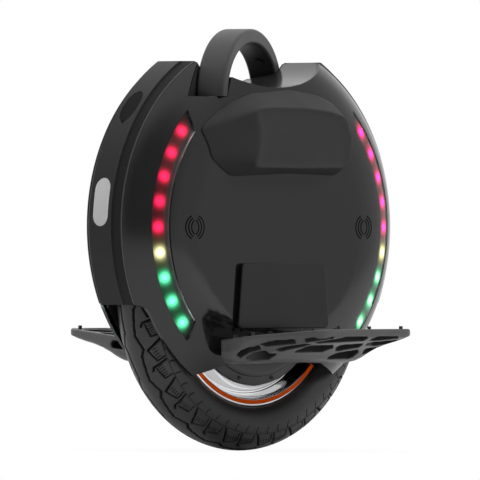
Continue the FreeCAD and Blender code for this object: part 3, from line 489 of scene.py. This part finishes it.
weldReach = 0.005  # corners closer than this are one
sharpAngle = 28.0
shellCopies = {
    "sideCoverLeft": ("side_cover_left", "shellGloss", "shell_gloss"),
    "sideCoverRight": ("side_cover_right", "shellGloss", "shell_gloss"),
    "spineFront": ("spine_cover_front", "spineSatin", "spine_satin"),
    "spineRear": ("spine_cover_rear", "spineSatin", "spine_satin"),
    "topScoop": ("top_cover", "scoopSatin", "scoop_satin"),
    "handleSlots": ("handle_pockets", "fenderPlastic", "fender_plastic"),
    "headlightLens": ("headlight_lens", "lampLens", "lamp_lens"),
    "taillightLens": ("taillight_lens", "lampLens", "lamp_lens"),
    "restPlateLeft": ("rest_plate_left", "plateGloss", "plate_gloss"),
    "restPlateRight": ("rest_plate_right", "plateGloss", "plate_gloss"),
    "chargeCap": ("charge_cap", "capRubber", "cap_rubber"),
    "handleArch": ("handle_arch", "handleSatin", "handle_satin"),
    "innerFender": ("inner_fender", "fenderPlastic", "fender_plastic"),
}
for place in ("left_front", "left_rear", "right_front", "right_rear"):
    shellCopies["stripLens_" + place] = ("led_lens_" + place, "stripClear", "strip_lens")
for pieceName, copied in shellCopies.items():
    smoothCopy(pieceName, *copied)
print("shell: copies of", len(shellCopies), "nodes")

# Tyre: crown and sidewall arcs carried round the axle, with the tread sunk along drawn grooves

tyreSpec = {
    "axle": 203.0, "tread": 203.0, "crown": 41.63, "shoulder": 36.5, "liningTop": 195.5,
    "wall": [(32.0, 188.0), (38.0, 166.5), (26.5, 145.8)],
    "lining": [(21.0, 146.6), (30.5, 166.5), (24.5, 184.0)],
    "periods": 20, "rows": 78, "phase": -34.0, "otherSide": 0.067, "run": 63.8,  # run: length of a period
    "fineTo": 55.0, "fineSteps": 52, "coarseSteps": 7, "sharp": 70.0, "shadedFrom": 1.2, "slope": 0.7,
    # run of each groove as (share of a period, distance from the middle), its width and its depth
    "grooves": [
        ([(-0.02, 8.9), (0.0, 10.4), (0.265, 16.9), (0.40, 11.9), (0.98, 8.9), (1.0, 10.4)], 2.9, 4.2),
        ([(0.10, 42.0), (0.302, 22.5)], 2.6, 4.0),
        ([(0.302, 22.5), (0.575, 30.6)], 1.7, 2.6),
        ([(0.575, 30.6), (0.52, 41.5)], 1.7, 2.4),
        ([(0.60, 42.0), (0.69, 24.5), (0.695, 22.5), (0.775, 19.9)], 2.4, 3.6),
        ([(0.735, 25.8), (1.01, 30.8)], 1.7, 2.6),
        ([(1.01, 30.8), (0.985, 41.5)], 1.5, 2.2),
    ],
    "sipes": [(0.23, 31.0), (0.295, 31.5), (0.36, 32.2), (0.425, 33.0), (0.49, 33.8),
              (0.70, 31.8), (0.76, 32.3), (0.82, 32.8), (0.88, 33.4), (0.94, 34.0)],
    "sipe": (2.7, -0.035, 1.1, 1.2),  # half-length, lean, width, depth
    "wallSipes": [0.045, 0.378, 0.712], "wallRun": [(0.02, 53.5), (-0.03, 48.0), (0.0, 43.6)],
    "wallCut": (1.2, 1.1), "ring": (44.0, 1.1, 0.7),  # width and depth; place, reach and depth
}


def runDepth(along, across, run, width, depth):
    # full depth within half the width of the drawn run, easing to nothing over a short slope
    near = np.full(along.shape, np.inf)
    drawn = np.array(run) * np.array([tyreSpec["run"], 1.0])
    for a, b in zip(drawn[:-1], drawn[1:]):
        for lap in (-tyreSpec["run"], 0.0, tyreSpec["run"]):
            ax, bx = a[0] + lap, b[0] + lap
            dx, dy = bx - ax, b[1] - a[1]
            share = np.clip(((along - ax) * dx + (across - a[1]) * dy) / (dx * dx + dy * dy), 0, 1)
            near = np.minimum(near, np.hypot(along - ax - share * dx, across - a[1] - share * dy))
    ease = np.clip((width / 2 + tyreSpec["slope"] / 2 - near) / tyreSpec["slope"], 0, 1)
    return depth * ease * ease * (3 - 2 * ease)


def treadDepth(along, across):
    # the deepest of all the drawn runs, and a shallow line round the shoulder
    half, lean, width, deep = tyreSpec["sipe"]
    runs = tyreSpec["grooves"] + [([(u - lean / 2, w - half), (u + lean / 2, w + half)], width, deep)
                                  for u, w in tyreSpec["sipes"]]
    runs += [([(u + step, w) for step, w in tyreSpec["wallRun"]],) + tyreSpec["wallCut"]
             for u in tyreSpec["wallSipes"]]
    place, reach, deep = tyreSpec["ring"]
    depth = np.clip(reach - np.abs(across - place), 0, deep)
    for run in runs:
        depth = np.maximum(depth, runDepth(along, across, *run))
    return depth


def circleThrough(a, b, c):
    a, b, c = np.array(a), np.array(b), np.array(c)
    sides = 2 * np.array([b - a, c - a])
    centre = np.linalg.solve(sides, np.array([b @ b - a @ a, c @ c - a @ a]))
    return centre, np.hypot(*(a - centre))


def buildTyre():
    # one half at a time, from the middle of the tread over the sidewall and back along the lining
    spec = tyreSpec
    centre, radius = circleThrough(*spec["wall"])
    first, last = [math.atan2(spec["wall"][i][1] - centre[1], spec["wall"][i][0] - centre[0]) for i in (0, 2)]
    end = spec["shoulder"] + radius * (first - last)
    w = np.concatenate([np.linspace(0, spec["fineTo"], spec["fineSteps"]),
                        np.linspace(spec["fineTo"], end, spec["coarseSteps"])[1:]])
    crownTurn = np.minimum(w, spec["shoulder"]) / spec["crown"]
    wallTurn = first - np.maximum(w - spec["shoulder"], 0) / radius
    onCrown = w <= spec["shoulder"]
    outY = np.where(onCrown, np.sin(crownTurn), np.cos(wallTurn))
    outR = np.where(onCrown, np.cos(crownTurn), np.sin(wallTurn))
    y = np.where(onCrown, spec["crown"] * outY, centre[0] + radius * outY)
    r = np.where(onCrown, spec["tread"] - spec["crown"] * (1 - outR), centre[1] + radius * outR)
    lining = np.array(spec["lining"] + [(0.0, spec["liningTop"])])
    u, across = np.meshgrid(np.arange(spec["rows"]) / spec["rows"], w, indexing="ij")
    for side, sign, shift in (("left", 1.0, 0.0), ("right", -1.0, spec["otherSide"])):
        depth = treadDepth((u + shift) % 1.0 * spec["run"], across)
        depth = np.tile(depth, (spec["periods"], 1))
        halfY = np.concatenate([y - outY * depth, np.tile(lining[:, 0], (len(depth), 1))], 1) * sign
        halfR = np.concatenate([r - outR * depth, np.tile(lining[:, 1], (len(depth), 1))], 1)
        turn = np.radians(spec["phase"] - 360.0 * np.arange(len(depth)) / len(depth))[:, None]
        points = np.stack([halfR * np.cos(turn), halfY, spec["axle"] + halfR * np.sin(turn)], -1)
        faces = gridQuads(len(depth), points.shape[1], True, True).tolist()
        half = newPiece("tyreTread_" + side, points, faces, "tyreRubber", "wheel", ["tyre"])
        half.data.set_sharp_from_angle(angle=math.radians(spec["sharp"]))
        # painted shade in the tread grooves, full from this depth down
        sunk = np.clip(depth / spec["shadedFrom"], 0, 1)
        sunk = np.concatenate([sunk, np.zeros((len(depth), len(lining)))], 1)
        setPointValues(half, "sunk", "FLOAT", "value", sunk)


buildTyre()
print("tyre: tread of", tyreSpec["periods"], "periods")


# Rim, stripes and hub covers: profiles turned about the axle

rimSpec = {
    "axle": 203.0, "segments": 288,
    "gutter": (25.2, 126.9, 16.6, 8.7),  # face, middle radius, depth, half-width
    "gutterSweep": 88.0, "gutterSteps": 25,
    "flange": [(25.2, 136.0), (25.9, 136.4), (26.0, 137.0), (26.0, 144.2), (25.4, 145.0), (22.3, 145.0),
               (22.3, 138.7)],
    "drum": [(21.8, 109.2), (21.8, 117.9), (24.6, 118.0)],
}
stripeSpec = {"loop": [(26.02, 137.2), (26.3, 137.0), (26.4, 137.4), (26.4, 142.1), (26.3, 142.5),
                       (26.02, 142.3)]}
hubSpec = {
    "loop": [(36.0, 14.2), (36.0, 38.0), (35.4, 39.0), (35.4, 44.0), (36.0, 45.0), (36.0, 101.0),
             (35.7, 103.0), (34.2, 106.4), (33.4, 107.0), (30.3, 107.0), (30.0, 107.6), (28.5, 116.4),
             (27.6, 117.6), (21.9, 117.6), (21.9, 112.8), (31.0, 99.0), (31.0, 19.0), (24.0, 19.0),
             (24.0, 14.2)],
    "bolts": 12, "boltFrom": 15.0, "boltSides": 12, "boltRing": 112.2, "boltFace": 29.3,
    "boltLoop": [(-0.6, 2.5), (1.2, 2.5), (1.6, 2.1), (1.6, 1.2), (0.4, 1.0)],
}


def buildWheel():
    face, middle, deep, half = rimSpec["gutter"]
    sweep = np.radians(np.linspace(-rimSpec["gutterSweep"], rimSpec["gutterSweep"], rimSpec["gutterSteps"]))
    gutter = np.stack([face - deep * np.cos(sweep), middle + half * np.sin(sweep)], -1)
    side = np.concatenate([rimSpec["drum"], gutter, rimSpec["flange"]])
    loop = np.concatenate([side, side[::-1] * np.array([-1, 1])])
    points, faces = lathe(loop, rimSpec["segments"], rimSpec["axle"])
    newPiece("rimDish", points, faces, "rimPolish", "wheel", ["rim"])
    points, faces = lathe(stripeSpec["loop"], rimSpec["segments"], rimSpec["axle"])
    points, faces = joinBlocks([(points, faces), (halfTurn(points), faces)])
    newPiece("rimStripes", points, faces, "stripePaint", "wheel", ["rim_stripes"])
    points, faces = lathe(hubSpec["loop"], rimSpec["segments"], rimSpec["axle"])
    # a bolt head is its loop turned about its own middle, on a ring about the axle
    rise, size = np.array(hubSpec["boltLoop"]).T[:, :, None]
    around = fullCircle(hubSpec["boltSides"])
    spots = hubSpec["boltRing"] * np.exp(1j * fullCircle(hubSpec["bolts"], hubSpec["boltFrom"]))
    heads, headFaces = joinBlocks([tube(np.stack([
        spot.real + size * np.cos(around), hubSpec["boltFace"] + rise + 0 * around,
        rimSpec["axle"] + spot.imag + size * np.sin(around)], -1)) for spot in spots])
    for (side, cover), (_, bolts) in zip(bothSides(points), bothSides(heads)):
        newPiece("hubCover_" + side, cover, faces, "hubPaint", "wheel", ["hub_cover_" + side])
        newPiece("hubBolts_" + side, bolts, headFaces, "studBlack", "wheel")


buildWheel()
print("wheel: rim, stripes, hub covers")


# Pedals: the casting's own shape with its edges softened

pedalSpec = {
    "voxel": 1.15, "smooth": 9, "half": 112.0, "hinge": (93.0, 136.0),
    "plug": 6.2, "plugRun": (107.4, 111.6), "plugSides": 24,
    "pocket": ((105.5, 136.5), (121.0, 138.0), 5.0),  # the ends of its middle line, half-width
    "pocketDepth": 14.0, "pocketEdge": (1.2, 2.0, 1.5),  # blur across, at the mouth and past the floor
    "edge": (1.1, 1.0),  # shading of an opening: where it starts outside, and over what length
    "openings": [
        [(95, 112.5), (96, 117), (94, 126), (89, 134.5), (86, 138.5), (65.5, 136.5), (62, 132.5),
         (63.5, 121.5)],
        [(-39.5, 122.5), (-38, 128.5), (-43.5, 138.5), (-70, 148), (-80, 137.5), (-81.5, 127.5), (-78, 122),
         (-45, 121)],
        [(-84, 146), (-81, 153), (-99, 161), (-105, 146), (-102, 133), (-92, 134)],
        [(107, 107.5), (107.5, 116), (104, 126), (96.2, 138.2), (91.6, 135.9), (98.5, 122), (101.2, 108)],
        [(-66.5, 166.5), (-56.5, 181), (-58, 185.5), (-92, 195.5), (-100, 193), (-102, 186), (-99, 170),
         (-84, 163.5)],
        [(97.5, 141), (87.5, 157.5), (71, 177.5), (66.5, 174.5), (89.5, 144.5)],
        [(77.5, 148.5), (75, 155.5), (66, 169.5), (55.5, 180), (40.5, 175.5), (40, 163), (61.5, 145),
         (66.8, 145)],
        [(-27.5, 151), (-21.5, 160), (-19, 171), (-49, 179), (-58.5, 167.5), (-62.5, 157), (-40.5, 145),
         (-34.5, 145)],
        [(37.5, 143.5), (33.5, 167), (-2.5, 171.5), (-18.5, 154), (-12.5, 141.8), (34.5, 140.8)],
        [(62.5, 187.5), (56, 197), (45, 203), (29.5, 206.8), (26.5, 202.8), (41, 196.3), (57.5, 185.5)],
        [(-46, 194), (-44.5, 203), (-49, 206.5), (-85, 206.5), (-89.5, 202.5), (-57.5, 192)],
        [(45.5, 187), (31, 196), (10, 206), (-30.5, 206.5), (-35, 202), (-37, 192), (33, 181.5)],
    ],
}


def evenMesh(points, faces, voxel, smooth):
    # the union of closed shapes, remeshed evenly and smoothed; gives back its corners and faces
    mesh = bpy.data.meshes.new("draft")
    mesh.from_pydata((points * millimetre).tolist(), [], faces)
    draft = bpy.data.objects.new("draft", mesh)
    scene.collection.objects.link(draft)
    even = draft.modifiers.new("even", "REMESH")
    even.mode = "VOXEL"
    even.voxel_size = voxel * millimetre
    ease = draft.modifiers.new("ease", "SMOOTH")
    ease.factor = 0.5
    ease.iterations = smooth
    done = bpy.data.meshes.new_from_object(draft.evaluated_get(bpy.context.evaluated_depsgraph_get()))
    corners = np.zeros(len(done.vertices) * 3)
    done.vertices.foreach_get("co", corners)
    quads = [list(face.vertices) for face in done.polygons]
    bpy.data.objects.remove(draft)
    bpy.data.meshes.remove(mesh)
    bpy.data.meshes.remove(done)
    return corners.reshape(-1, 3) / millimetre, quads


def alongSegment(points, a, b):
    # from the nearest place on the line from a to b to each point
    share = np.clip((points - a) @ (b - a) / ((b - a) @ (b - a)), 0, 1)
    return points - a - share[:, None] * (b - a)


def insidePolygon(points, corners):
    # how far each point lies inside the polygon; negative outside
    nearest, crossed = np.full(len(points), np.inf), np.zeros(len(points), bool)
    for a, b in zip(corners, np.roll(corners, -1, axis=0)):
        nearest = np.minimum(nearest, np.hypot(*alongSegment(points, a, b).T))
        spans = (a[1] > points[:, 1]) != (b[1] > points[:, 1])
        rise = b[1] - a[1] if b[1] != a[1] else 1.0
        crossed ^= spans & (points[:, 0] < a[0] + (b[0] - a[0]) * (points[:, 1] - a[1]) / rise)
    return np.where(crossed, nearest, -nearest)


def buildPedals():
    spec = pedalSpec
    corners, triangles = weldedArrays("pedal_left")
    blocks = [(corners, triangles.tolist())]
    around = fullCircle(spec["plugSides"])
    for sign in (1, -1):  # end plugs over the hinge pin
        x = sign * np.array(spec["plugRun"])[:, None]
        blocks.append(tube(np.stack([x + 0 * around, spec["hinge"][0] + spec["plug"] * np.cos(around) + 0 * x,
                                     spec["hinge"][1] + spec["plug"] * np.sin(around) + 0 * x], -1)))
    points, quads = evenMesh(*joinBlocks(blocks), spec["voxel"], spec["smooth"])
    # painted shade: the slot sunk into the rear end, and each opening from its edge inwards
    a, b, half = (np.array(value) for value in spec["pocket"])
    soft, lip, floor = spec["pocketEdge"]
    off = np.hypot(*alongSegment(points[:, 1:], a, b).T)
    depth = spec["half"] + points[:, 0]
    sunk = np.clip((half + soft - off) / soft, 0, 1) * np.clip(depth / lip, 0, 1)
    sunk *= depth < spec["pocketDepth"] + floor
    for opening in spec["openings"]:
        inwards = insidePolygon(points[:, :2], np.array(opening))
        sunk = np.maximum(sunk, np.clip((inwards + spec["edge"][0]) / spec["edge"][1], 0, 1))
    for side, shape in bothSides(points):
        body = "pedal_" + side
        cast = newPiece("pedalCast_" + side, shape, quads, "pedalCasting", body, [body])
        setPointValues(cast, "sunk", "FLOAT", "value", sunk)


buildPedals()
print("pedals: two softened castings")


# Knee pads: foot and shoulder outlines joined by straight walls, a dished face, all then eased both ways

shellSpec = {"centre": 291.7, "flat": 140.0, "panel": 76.5, "crown": 147.6, "turn": 28.8, "edge": 84.5}
padSpec = {
    "foot": [(97.1, 349.7), (149.0, 373.0), (153.0, 394.0), (152.0, 415.0), (102.0, 450.0),
             (51.4, 469.1), (-20.1, 476.8), (-76.9, 467.1), (-110.0, 453.8), (-126.0, 404.0),
             (-124.0, 370.6), (-108.6, 352.2), (-17.9, 357.0)],
    "shoulder": [(77.0, 367.0), (69.5, 388.0), (68.0, 416.0), (75.0, 441.0), (65.0, 444.0),
                 (42.0, 445.0), (-15.0, 444.0), (-58.0, 440.0), (-86.0, 433.0), (-97.0, 407.0),
                 (-95.0, 376.0), (-84.0, 367.0), (-5.0, 366.0)],
    "middle": (-5.0, 408.0), "crown": 0.84, "depths": (60.0, 111.0, 109.0), "step": 2.4, "fewest": 4,
    "wallRows": 26, "brimRows": 8, "faceRows": 16, "backRows": 6, "backFrom": 0.1, "halvings": 40,
    "softAround": 2.0, "softAcross": 1.2, "rest": 0.3,
}


def domeAt(x, z):
    # half-width of the side cover's skin at a point of its side view: flat, crown arc, edge arc
    flat, crown, edge = (shellSpec[key] for key in ("flat", "crown", "edge"))
    turn = math.radians(shellSpec["turn"])
    base = shellSpec["panel"] - crown
    edgeR, edgeY = flat + (crown - edge) * math.sin(turn), base + (crown - edge) * math.cos(turn)
    r = np.hypot(x, z - shellSpec["centre"])
    onCrown = base + np.sqrt(crown ** 2 - np.clip(r - flat, 0, crown) ** 2)
    onEdge = edgeY + np.sqrt(np.maximum(edge ** 2 - (r - edgeR) ** 2, 0))
    return np.where(r <= flat + crown * math.sin(turn), onCrown, onEdge)


def easeRing(values, spread, wrap):
    # Gaussian average along the first axis, out to four spreads, round a ring or with the ends held
    reach = int(4 * spread) + 1
    weights = bell(np.arange(-reach, reach + 1), spread)
    weights /= weights.sum()
    before, after = values[-reach:], values[:reach]
    if not wrap:
        before, after = 2 * values[:1] - values[reach:0:-1], 2 * values[-1:] - values[-2:-reach - 2:-1]
    padded = np.concatenate([before, values, after])
    return sum(weight * padded[i:i + len(values)] for i, weight in enumerate(weights))


def padRing(corners, counts):
    # a closed outline with the given number of even steps along each side, its corners eased
    following = np.roll(corners, -1, 0)
    sides = [a + (b - a) * (np.arange(n)[:, None] / n) for a, b, n in zip(corners, following, counts)]
    return easeRing(np.concatenate(sides), padSpec["softAround"], True)


def buildPads():
    # rows run up the wall from the cover's skin to the shoulder, over the brim and in across the face
    spec = padSpec
    corners = np.array(spec["shoulder"])
    lengths = np.hypot(*(np.roll(corners, -1, 0) - corners).T)
    counts = np.maximum(spec["fewest"], np.round(lengths / spec["step"]).astype(int))
    shoulder, foot = padRing(corners, counts), padRing(np.array(spec["foot"]), counts)
    middle = np.array(spec["middle"])
    crown = middle + (shoulder - middle) * spec["crown"]
    rootY, shoulderY, faceY = spec["depths"]
    low, high = np.zeros(len(foot)), np.ones(len(foot))
    for _ in range(spec["halvings"]):  # where each wall line leaves the skin
        share = (low + high) / 2
        spot = foot + (shoulder - foot) * share[:, None]
        above = rootY + (shoulderY - rootY) * share > domeAt(spot[:, 0], spot[:, 1]) + spec["rest"]
        low, high = np.where(above, low, share), np.where(above, share, high)
    share = high + (1 - high) * np.linspace(0, 1, spec["wallRows"])[:, None]
    brim = np.linspace(0, 1, spec["brimRows"] + 1)[1:, None]
    face = np.linspace(0, 1, spec["faceRows"] + 1)[1:-1, None] + 0 * high
    flat = np.concatenate([foot + (shoulder - foot) * share[..., None],
                           shoulder + (crown - shoulder) * brim[..., None],
                           crown + (middle - crown) * face[..., None]])
    height = np.concatenate([rootY + (shoulderY - rootY) * share,
                             shoulderY + (faceY - shoulderY) * brim + 0 * high, faceY + 0 * face])
    points = np.stack([flat[..., 0], height, flat[..., 1]], -1)
    soft = easeRing(points, spec["softAcross"], False)
    soft[0] = points[0]
    centre = points[0].mean(0)
    shrink = np.linspace(spec["backFrom"], 1, spec["backRows"] + 1)[:-1, None, None]
    back = centre + (points[0] - centre) * shrink
    back[..., 1] = domeAt(back[..., 0], back[..., 2]) + spec["rest"]
    whole = np.concatenate([back, soft])
    tips = np.array([[centre[0], shellSpec["panel"] + spec["rest"], centre[2]],
                     [middle[0], faceY, middle[1]]])
    faces = capped(*whole.shape[:2])
    for side, shape in bothSides(np.concatenate([whole.reshape(-1, 3), tips])):
        pad = newPiece("kneePad_" + side, shape, faces, "kneeFoam", "chassis",
                       ["knee_pad_" + side])


buildPads()
print("knee pads: two moulded pads")


# Light strips: a lit floor under each clear lens, and the printed sound marks

glowSpec = {
    "inner": 188.6, "outer": 210.5, "innerSpread": 40.0, "outerSpread": 44.8, "depth": 3.0, "thick": 0.5,
    "ledRadius": 202.6, "pitch": 9.43, "shift": -0.35, "rows": 361, "cols": 34,
    "ledTints": ["red"] * 5 + ["amber"] + ["green"] * 3,
    # colour at the heart of a lamp, of the spot round it and of the wash between lamps
    "front": {"red": ((0.3, 0.02, 0.1), (2.1, 0.01, 0.13), (0.36, 0.003, 0.014)),
              "amber": ((0.6, 0.6, 0.5), (2.0, 1.96, 0.9), (0.3, 0.26, 0.06)),
              "green": ((0.3, 0.5, 0.4), (0.12, 2.1, 0.9), (0.0, 0.34, 0.07)), "spot": (4.9, 4.4)},
    "rear": {"red": ((0.4, 0.06, 1.5), (1.7, 0.006, 0.09), (0.6, 0.002, 0.02)),
             "amber": ((1.0, 1.0, 1.0), (1.7, 1.6, 0.5), (0.5, 0.44, 0.08)),
             "green": ((1.5, 1.0, 1.0), (0.03, 1.5, 0.6), (0.0, 0.5, 0.12)), "spot": (5.8, 8.0)},
    "heart": (3.6, 3.6), "wash": (11.0, 8.0), "washShare": 0.3,  # spreads along and across the strip
    # painted glints of lamp light on the strip's inner wall
    "paintedGlint": (4.0, 0.13, 0.035, 0.6),  # length, place across, width across, share of the wash
    # the lens's inner wall is painted on the sheet: lamp light mostly taken off there as painted shade, a dim
    # painted glow, and painted highlight lines along it
    "wallShare": 0.3, "wallEdge": 0.02, "paintedWallShade": 0.8, "paintedWallGlow": 0.012,
    "paintedWallHighlights": [(0.05, 0.02, 0.05), (0.29, 0.015, 0.03)],  # place across, width across, brightness
    "tip": (0.965, 0.008), "brightest": 1.25,
}


def buildGlow():
    # a thin sheet that follows the cover's crown a set depth down; t runs along it and q across it
    spec = glowSpec
    rows, cols = spec["rows"], spec["cols"]
    t, q = np.meshgrid(np.linspace(-1, 1, rows), np.linspace(0, 1, cols), indexing="ij")
    angle = np.radians(t * (spec["innerSpread"] + (spec["outerSpread"] - spec["innerSpread"]) * q))
    r = spec["inner"] + (spec["outer"] - spec["inner"]) * q
    base = shellSpec["panel"] - shellSpec["crown"]
    lean = np.arcsin((r - shellSpec["flat"]) / shellSpec["crown"])
    sheets = []
    for depth in (spec["depth"], spec["depth"] + spec["thick"]):
        reach = shellSpec["flat"] + (shellSpec["crown"] - depth) * np.sin(lean)
        y = base + (shellSpec["crown"] - depth) * np.cos(lean)
        sheets.append(np.stack([reach * np.cos(angle), y, shellSpec["centre"] + reach * np.sin(angle)], -1))
    shape = np.concatenate(sheets).reshape(-1, 3)
    rim = np.concatenate([np.arange(cols), np.arange(1, rows) * cols + cols - 1,
                          (rows - 1) * cols + np.arange(cols - 1)[::-1], np.arange(1, rows - 1)[::-1] * cols])
    count = rows * cols
    top = gridQuads(rows, cols, False, False)
    skirt = np.stack([rim, np.roll(rim, -1), np.roll(rim, -1) + count, rim + count], -1)
    faces = top.tolist() + (top[:, ::-1] + count).tolist() + skirt.tolist()
    tints = spec["ledTints"]
    lamps = ((len(tints) - 1) / 2 - np.arange(len(tints))) * spec["pitch"] + spec["shift"]
    across = r - spec["ledRadius"]
    length, spot, width, paintedGlintShare = spec["paintedGlint"]
    # painted light on the inner wall: painted shade over the lamp light, a dim painted glow and painted
    # highlight lines
    inWall = 1 / (1 + np.exp((q - spec["wallShare"]) / spec["wallEdge"]))
    paintedWallLight = spec["paintedWallGlow"] + sum(tone * bell(q - line, wide) for line, wide, tone in spec["paintedWallHighlights"])
    tipShade = 1 / (1 + np.exp((np.abs(t) - spec["tip"][0]) / spec["tip"][1]))
    for end, way in (("front", 1.0), ("rear", -1.0)):
        lit = np.zeros(t.shape + (3,))
        for place, tint in zip(lamps, tints):
            heart, blot, wash = np.array(spec[end][tint])
            along = np.radians(np.degrees(angle) - place) * r
            for size, tone in ((spec["heart"], heart), (spec[end]["spot"], blot),
                               (spec["wash"], wash * spec["washShare"])):
                lit += (bell(along, size[0]) * bell(across, size[1]))[..., None] * tone
            # a painted glint of each lamp along the inner wall
            lit += (bell(along, length) * bell(q - spot, width))[..., None] * wash * paintedGlintShare
        lit = lit * (1 - spec["paintedWallShade"] * inWall)[..., None] + (inWall * paintedWallLight)[..., None]
        lit = np.clip(lit * tipShade[..., None], 0, spec["brightest"]).reshape(-1, 3)
        colours = np.ones((2 * count, 4))
        colours[:, :3] = np.concatenate([lit, np.zeros_like(lit)])
        for side, out in (("left", 1.0), ("right", -1.0)):
            sheet = newPiece("stripGlow_" + side + "_" + end, shape * np.array([way, out, 1.0]), faces,
                             "stripGlow", "chassis")
            setPointValues(sheet, "glow", "FLOAT_COLOR", "color", colours)


buildGlow()
print("light strips: four lit floors")

markSpec = {
    "place": 151.0, "height": 290.0, "half": 1.0, "steps": 25,
    # radius, spread in degrees, shift past the middle
    "arcs": [(10.6, 57.0, 4.6), (13.2, 62.0, 2.6), (15.9, 66.0, 0.7)],
    "profile": [(-1.0, -0.1), (-0.8, 0.16), (0.0, 0.2), (0.8, 0.16), (1.0, -0.1)],
}


def buildMarks():
    # each arc is a low ribbon bent round the mark's centre and laid on the cover's skin
    spec = markSpec
    profile = np.array(spec["profile"])
    arcs = []
    for place in (spec["place"], -spec["place"]):
        for radius, spread, shift in spec["arcs"]:
            for way in (1, -1):
                turn = np.radians(np.linspace(-spread, spread, spec["steps"]))[:, None]
                reach = radius + profile[:, 0] * spec["half"]
                x = place + way * (reach * np.cos(turn) - shift)
                z = spec["height"] + way * reach * np.sin(turn)
                arcs.append(tube(np.stack([x, domeAt(x, z) + profile[:, 1], z], -1)))
    points, faces = joinBlocks(arcs)
    for side, shape in bothSides(points):
        newPiece("soundMarks_" + side, shape, faces, "inkAndNotchShade", "chassis")


buildMarks()
print("sound marks: two on each cover")

# Seam beads along the covers' edges, coloured light as a painted highlight, and a black sheet as painted
# shade in the charge cap's finger notch

beadSpec = {"radius": 240.3, "half": 32.0, "size": 0.9, "from": -24.5, "to": 62.4, "steps": 121, "around": 10}
notchSpec = {"angle": 32.9, "radius": 247.95, "size": (2.6, 2.4), "steps": 20, "lifts": (-0.6, 0.12)}


def buildBeads():
    # a thin round bead carried round the shell's centre, once at each edge of each band
    spec = beadSpec
    turn = np.radians(np.linspace(spec["from"], spec["to"], spec["steps"]))[:, None]
    around = fullCircle(spec["around"])
    reach = spec["radius"] + spec["size"] * np.cos(around)
    offset = spec["half"] + spec["size"] * np.sin(around) + 0 * turn
    x, z = reach * np.cos(turn), shellSpec["centre"] + reach * np.sin(turn)
    beads = [tube(np.stack([end * x, side * offset, z], -1)) for side in (1, -1) for end in (1, -1)]
    points, faces = joinBlocks(beads)
    # painted highlight: the beads take a lighter finish than the spine
    newPiece("seamBeads", points, faces, "beadPaintedHighlight", "chassis")


def buildNotch():
    # painted shade: a shallow black half-moon sheet at the cap's lower end stands for the shade in the finger
    # notch
    spec = notchSpec
    turn = fullCircle(spec["steps"])
    tilt = math.radians(spec["angle"]) + spec["size"][0] * np.cos(turn) / spec["radius"]
    reach = spec["radius"] + np.array(spec["lifts"])[:, None]
    across = spec["size"][1] * np.sin(turn) + 0 * reach
    x, z = reach * np.cos(tilt), shellSpec["centre"] + reach * np.sin(tilt)
    points, faces = tube(np.stack([x, across, z], -1))
    newPiece("capNotchShade", points, faces, "inkAndNotchShade", "charge_cap")


buildBeads()
buildNotch()
print("details: seam beads, cap notch")

# nodes that keep their own mesh and only take a finish
plainFinish = {
    "cover_screws": "turnedSteel", "charge_inlet": "socketBlack", "headlight_board": "boardMask",
    "taillight_board": "boardMask", "bearings": "turnedSteel", "magnet_ring": "magnetNickel",
    "stator": "statorIron", "valve_stem": "capRubber", "axle": "turnedSteel", "axle_nuts": "turnedSteel",
    "trolley_outer_tubes": "tubeAluminium", "trolley_middle_tubes": "tubeAluminium",
    "trolley_inner_tubes": "tubeAluminium", "release_button": "socketBlack", "power_button": "buttonSatin",
    "heat_sink": "tubeAluminium", "control_board": "boardMask",
}
for side in ("left", "right"):
    plainFinish["battery_" + side] = "batteryWrap"
    plainFinish["speakers_" + side] = "socketBlack"
    plainFinish["pedal_hanger_" + side] = "hangerAnodised"
    plainFinish["pedal_pin_" + side] = "turnedSteel"
    plainFinish["pedal_studs_" + side] = "studBlack"
    for end in ("front", "rear"):
        plainFinish["led_board_" + side + "_" + end] = "boardMask"
for nodeName, finish in plainFinish.items():
    nodes[nodeName].data.materials.clear()
    nodes[nodeName].data.materials.append(finishes[finish])
print("plain nodes:", len(plainFinish))
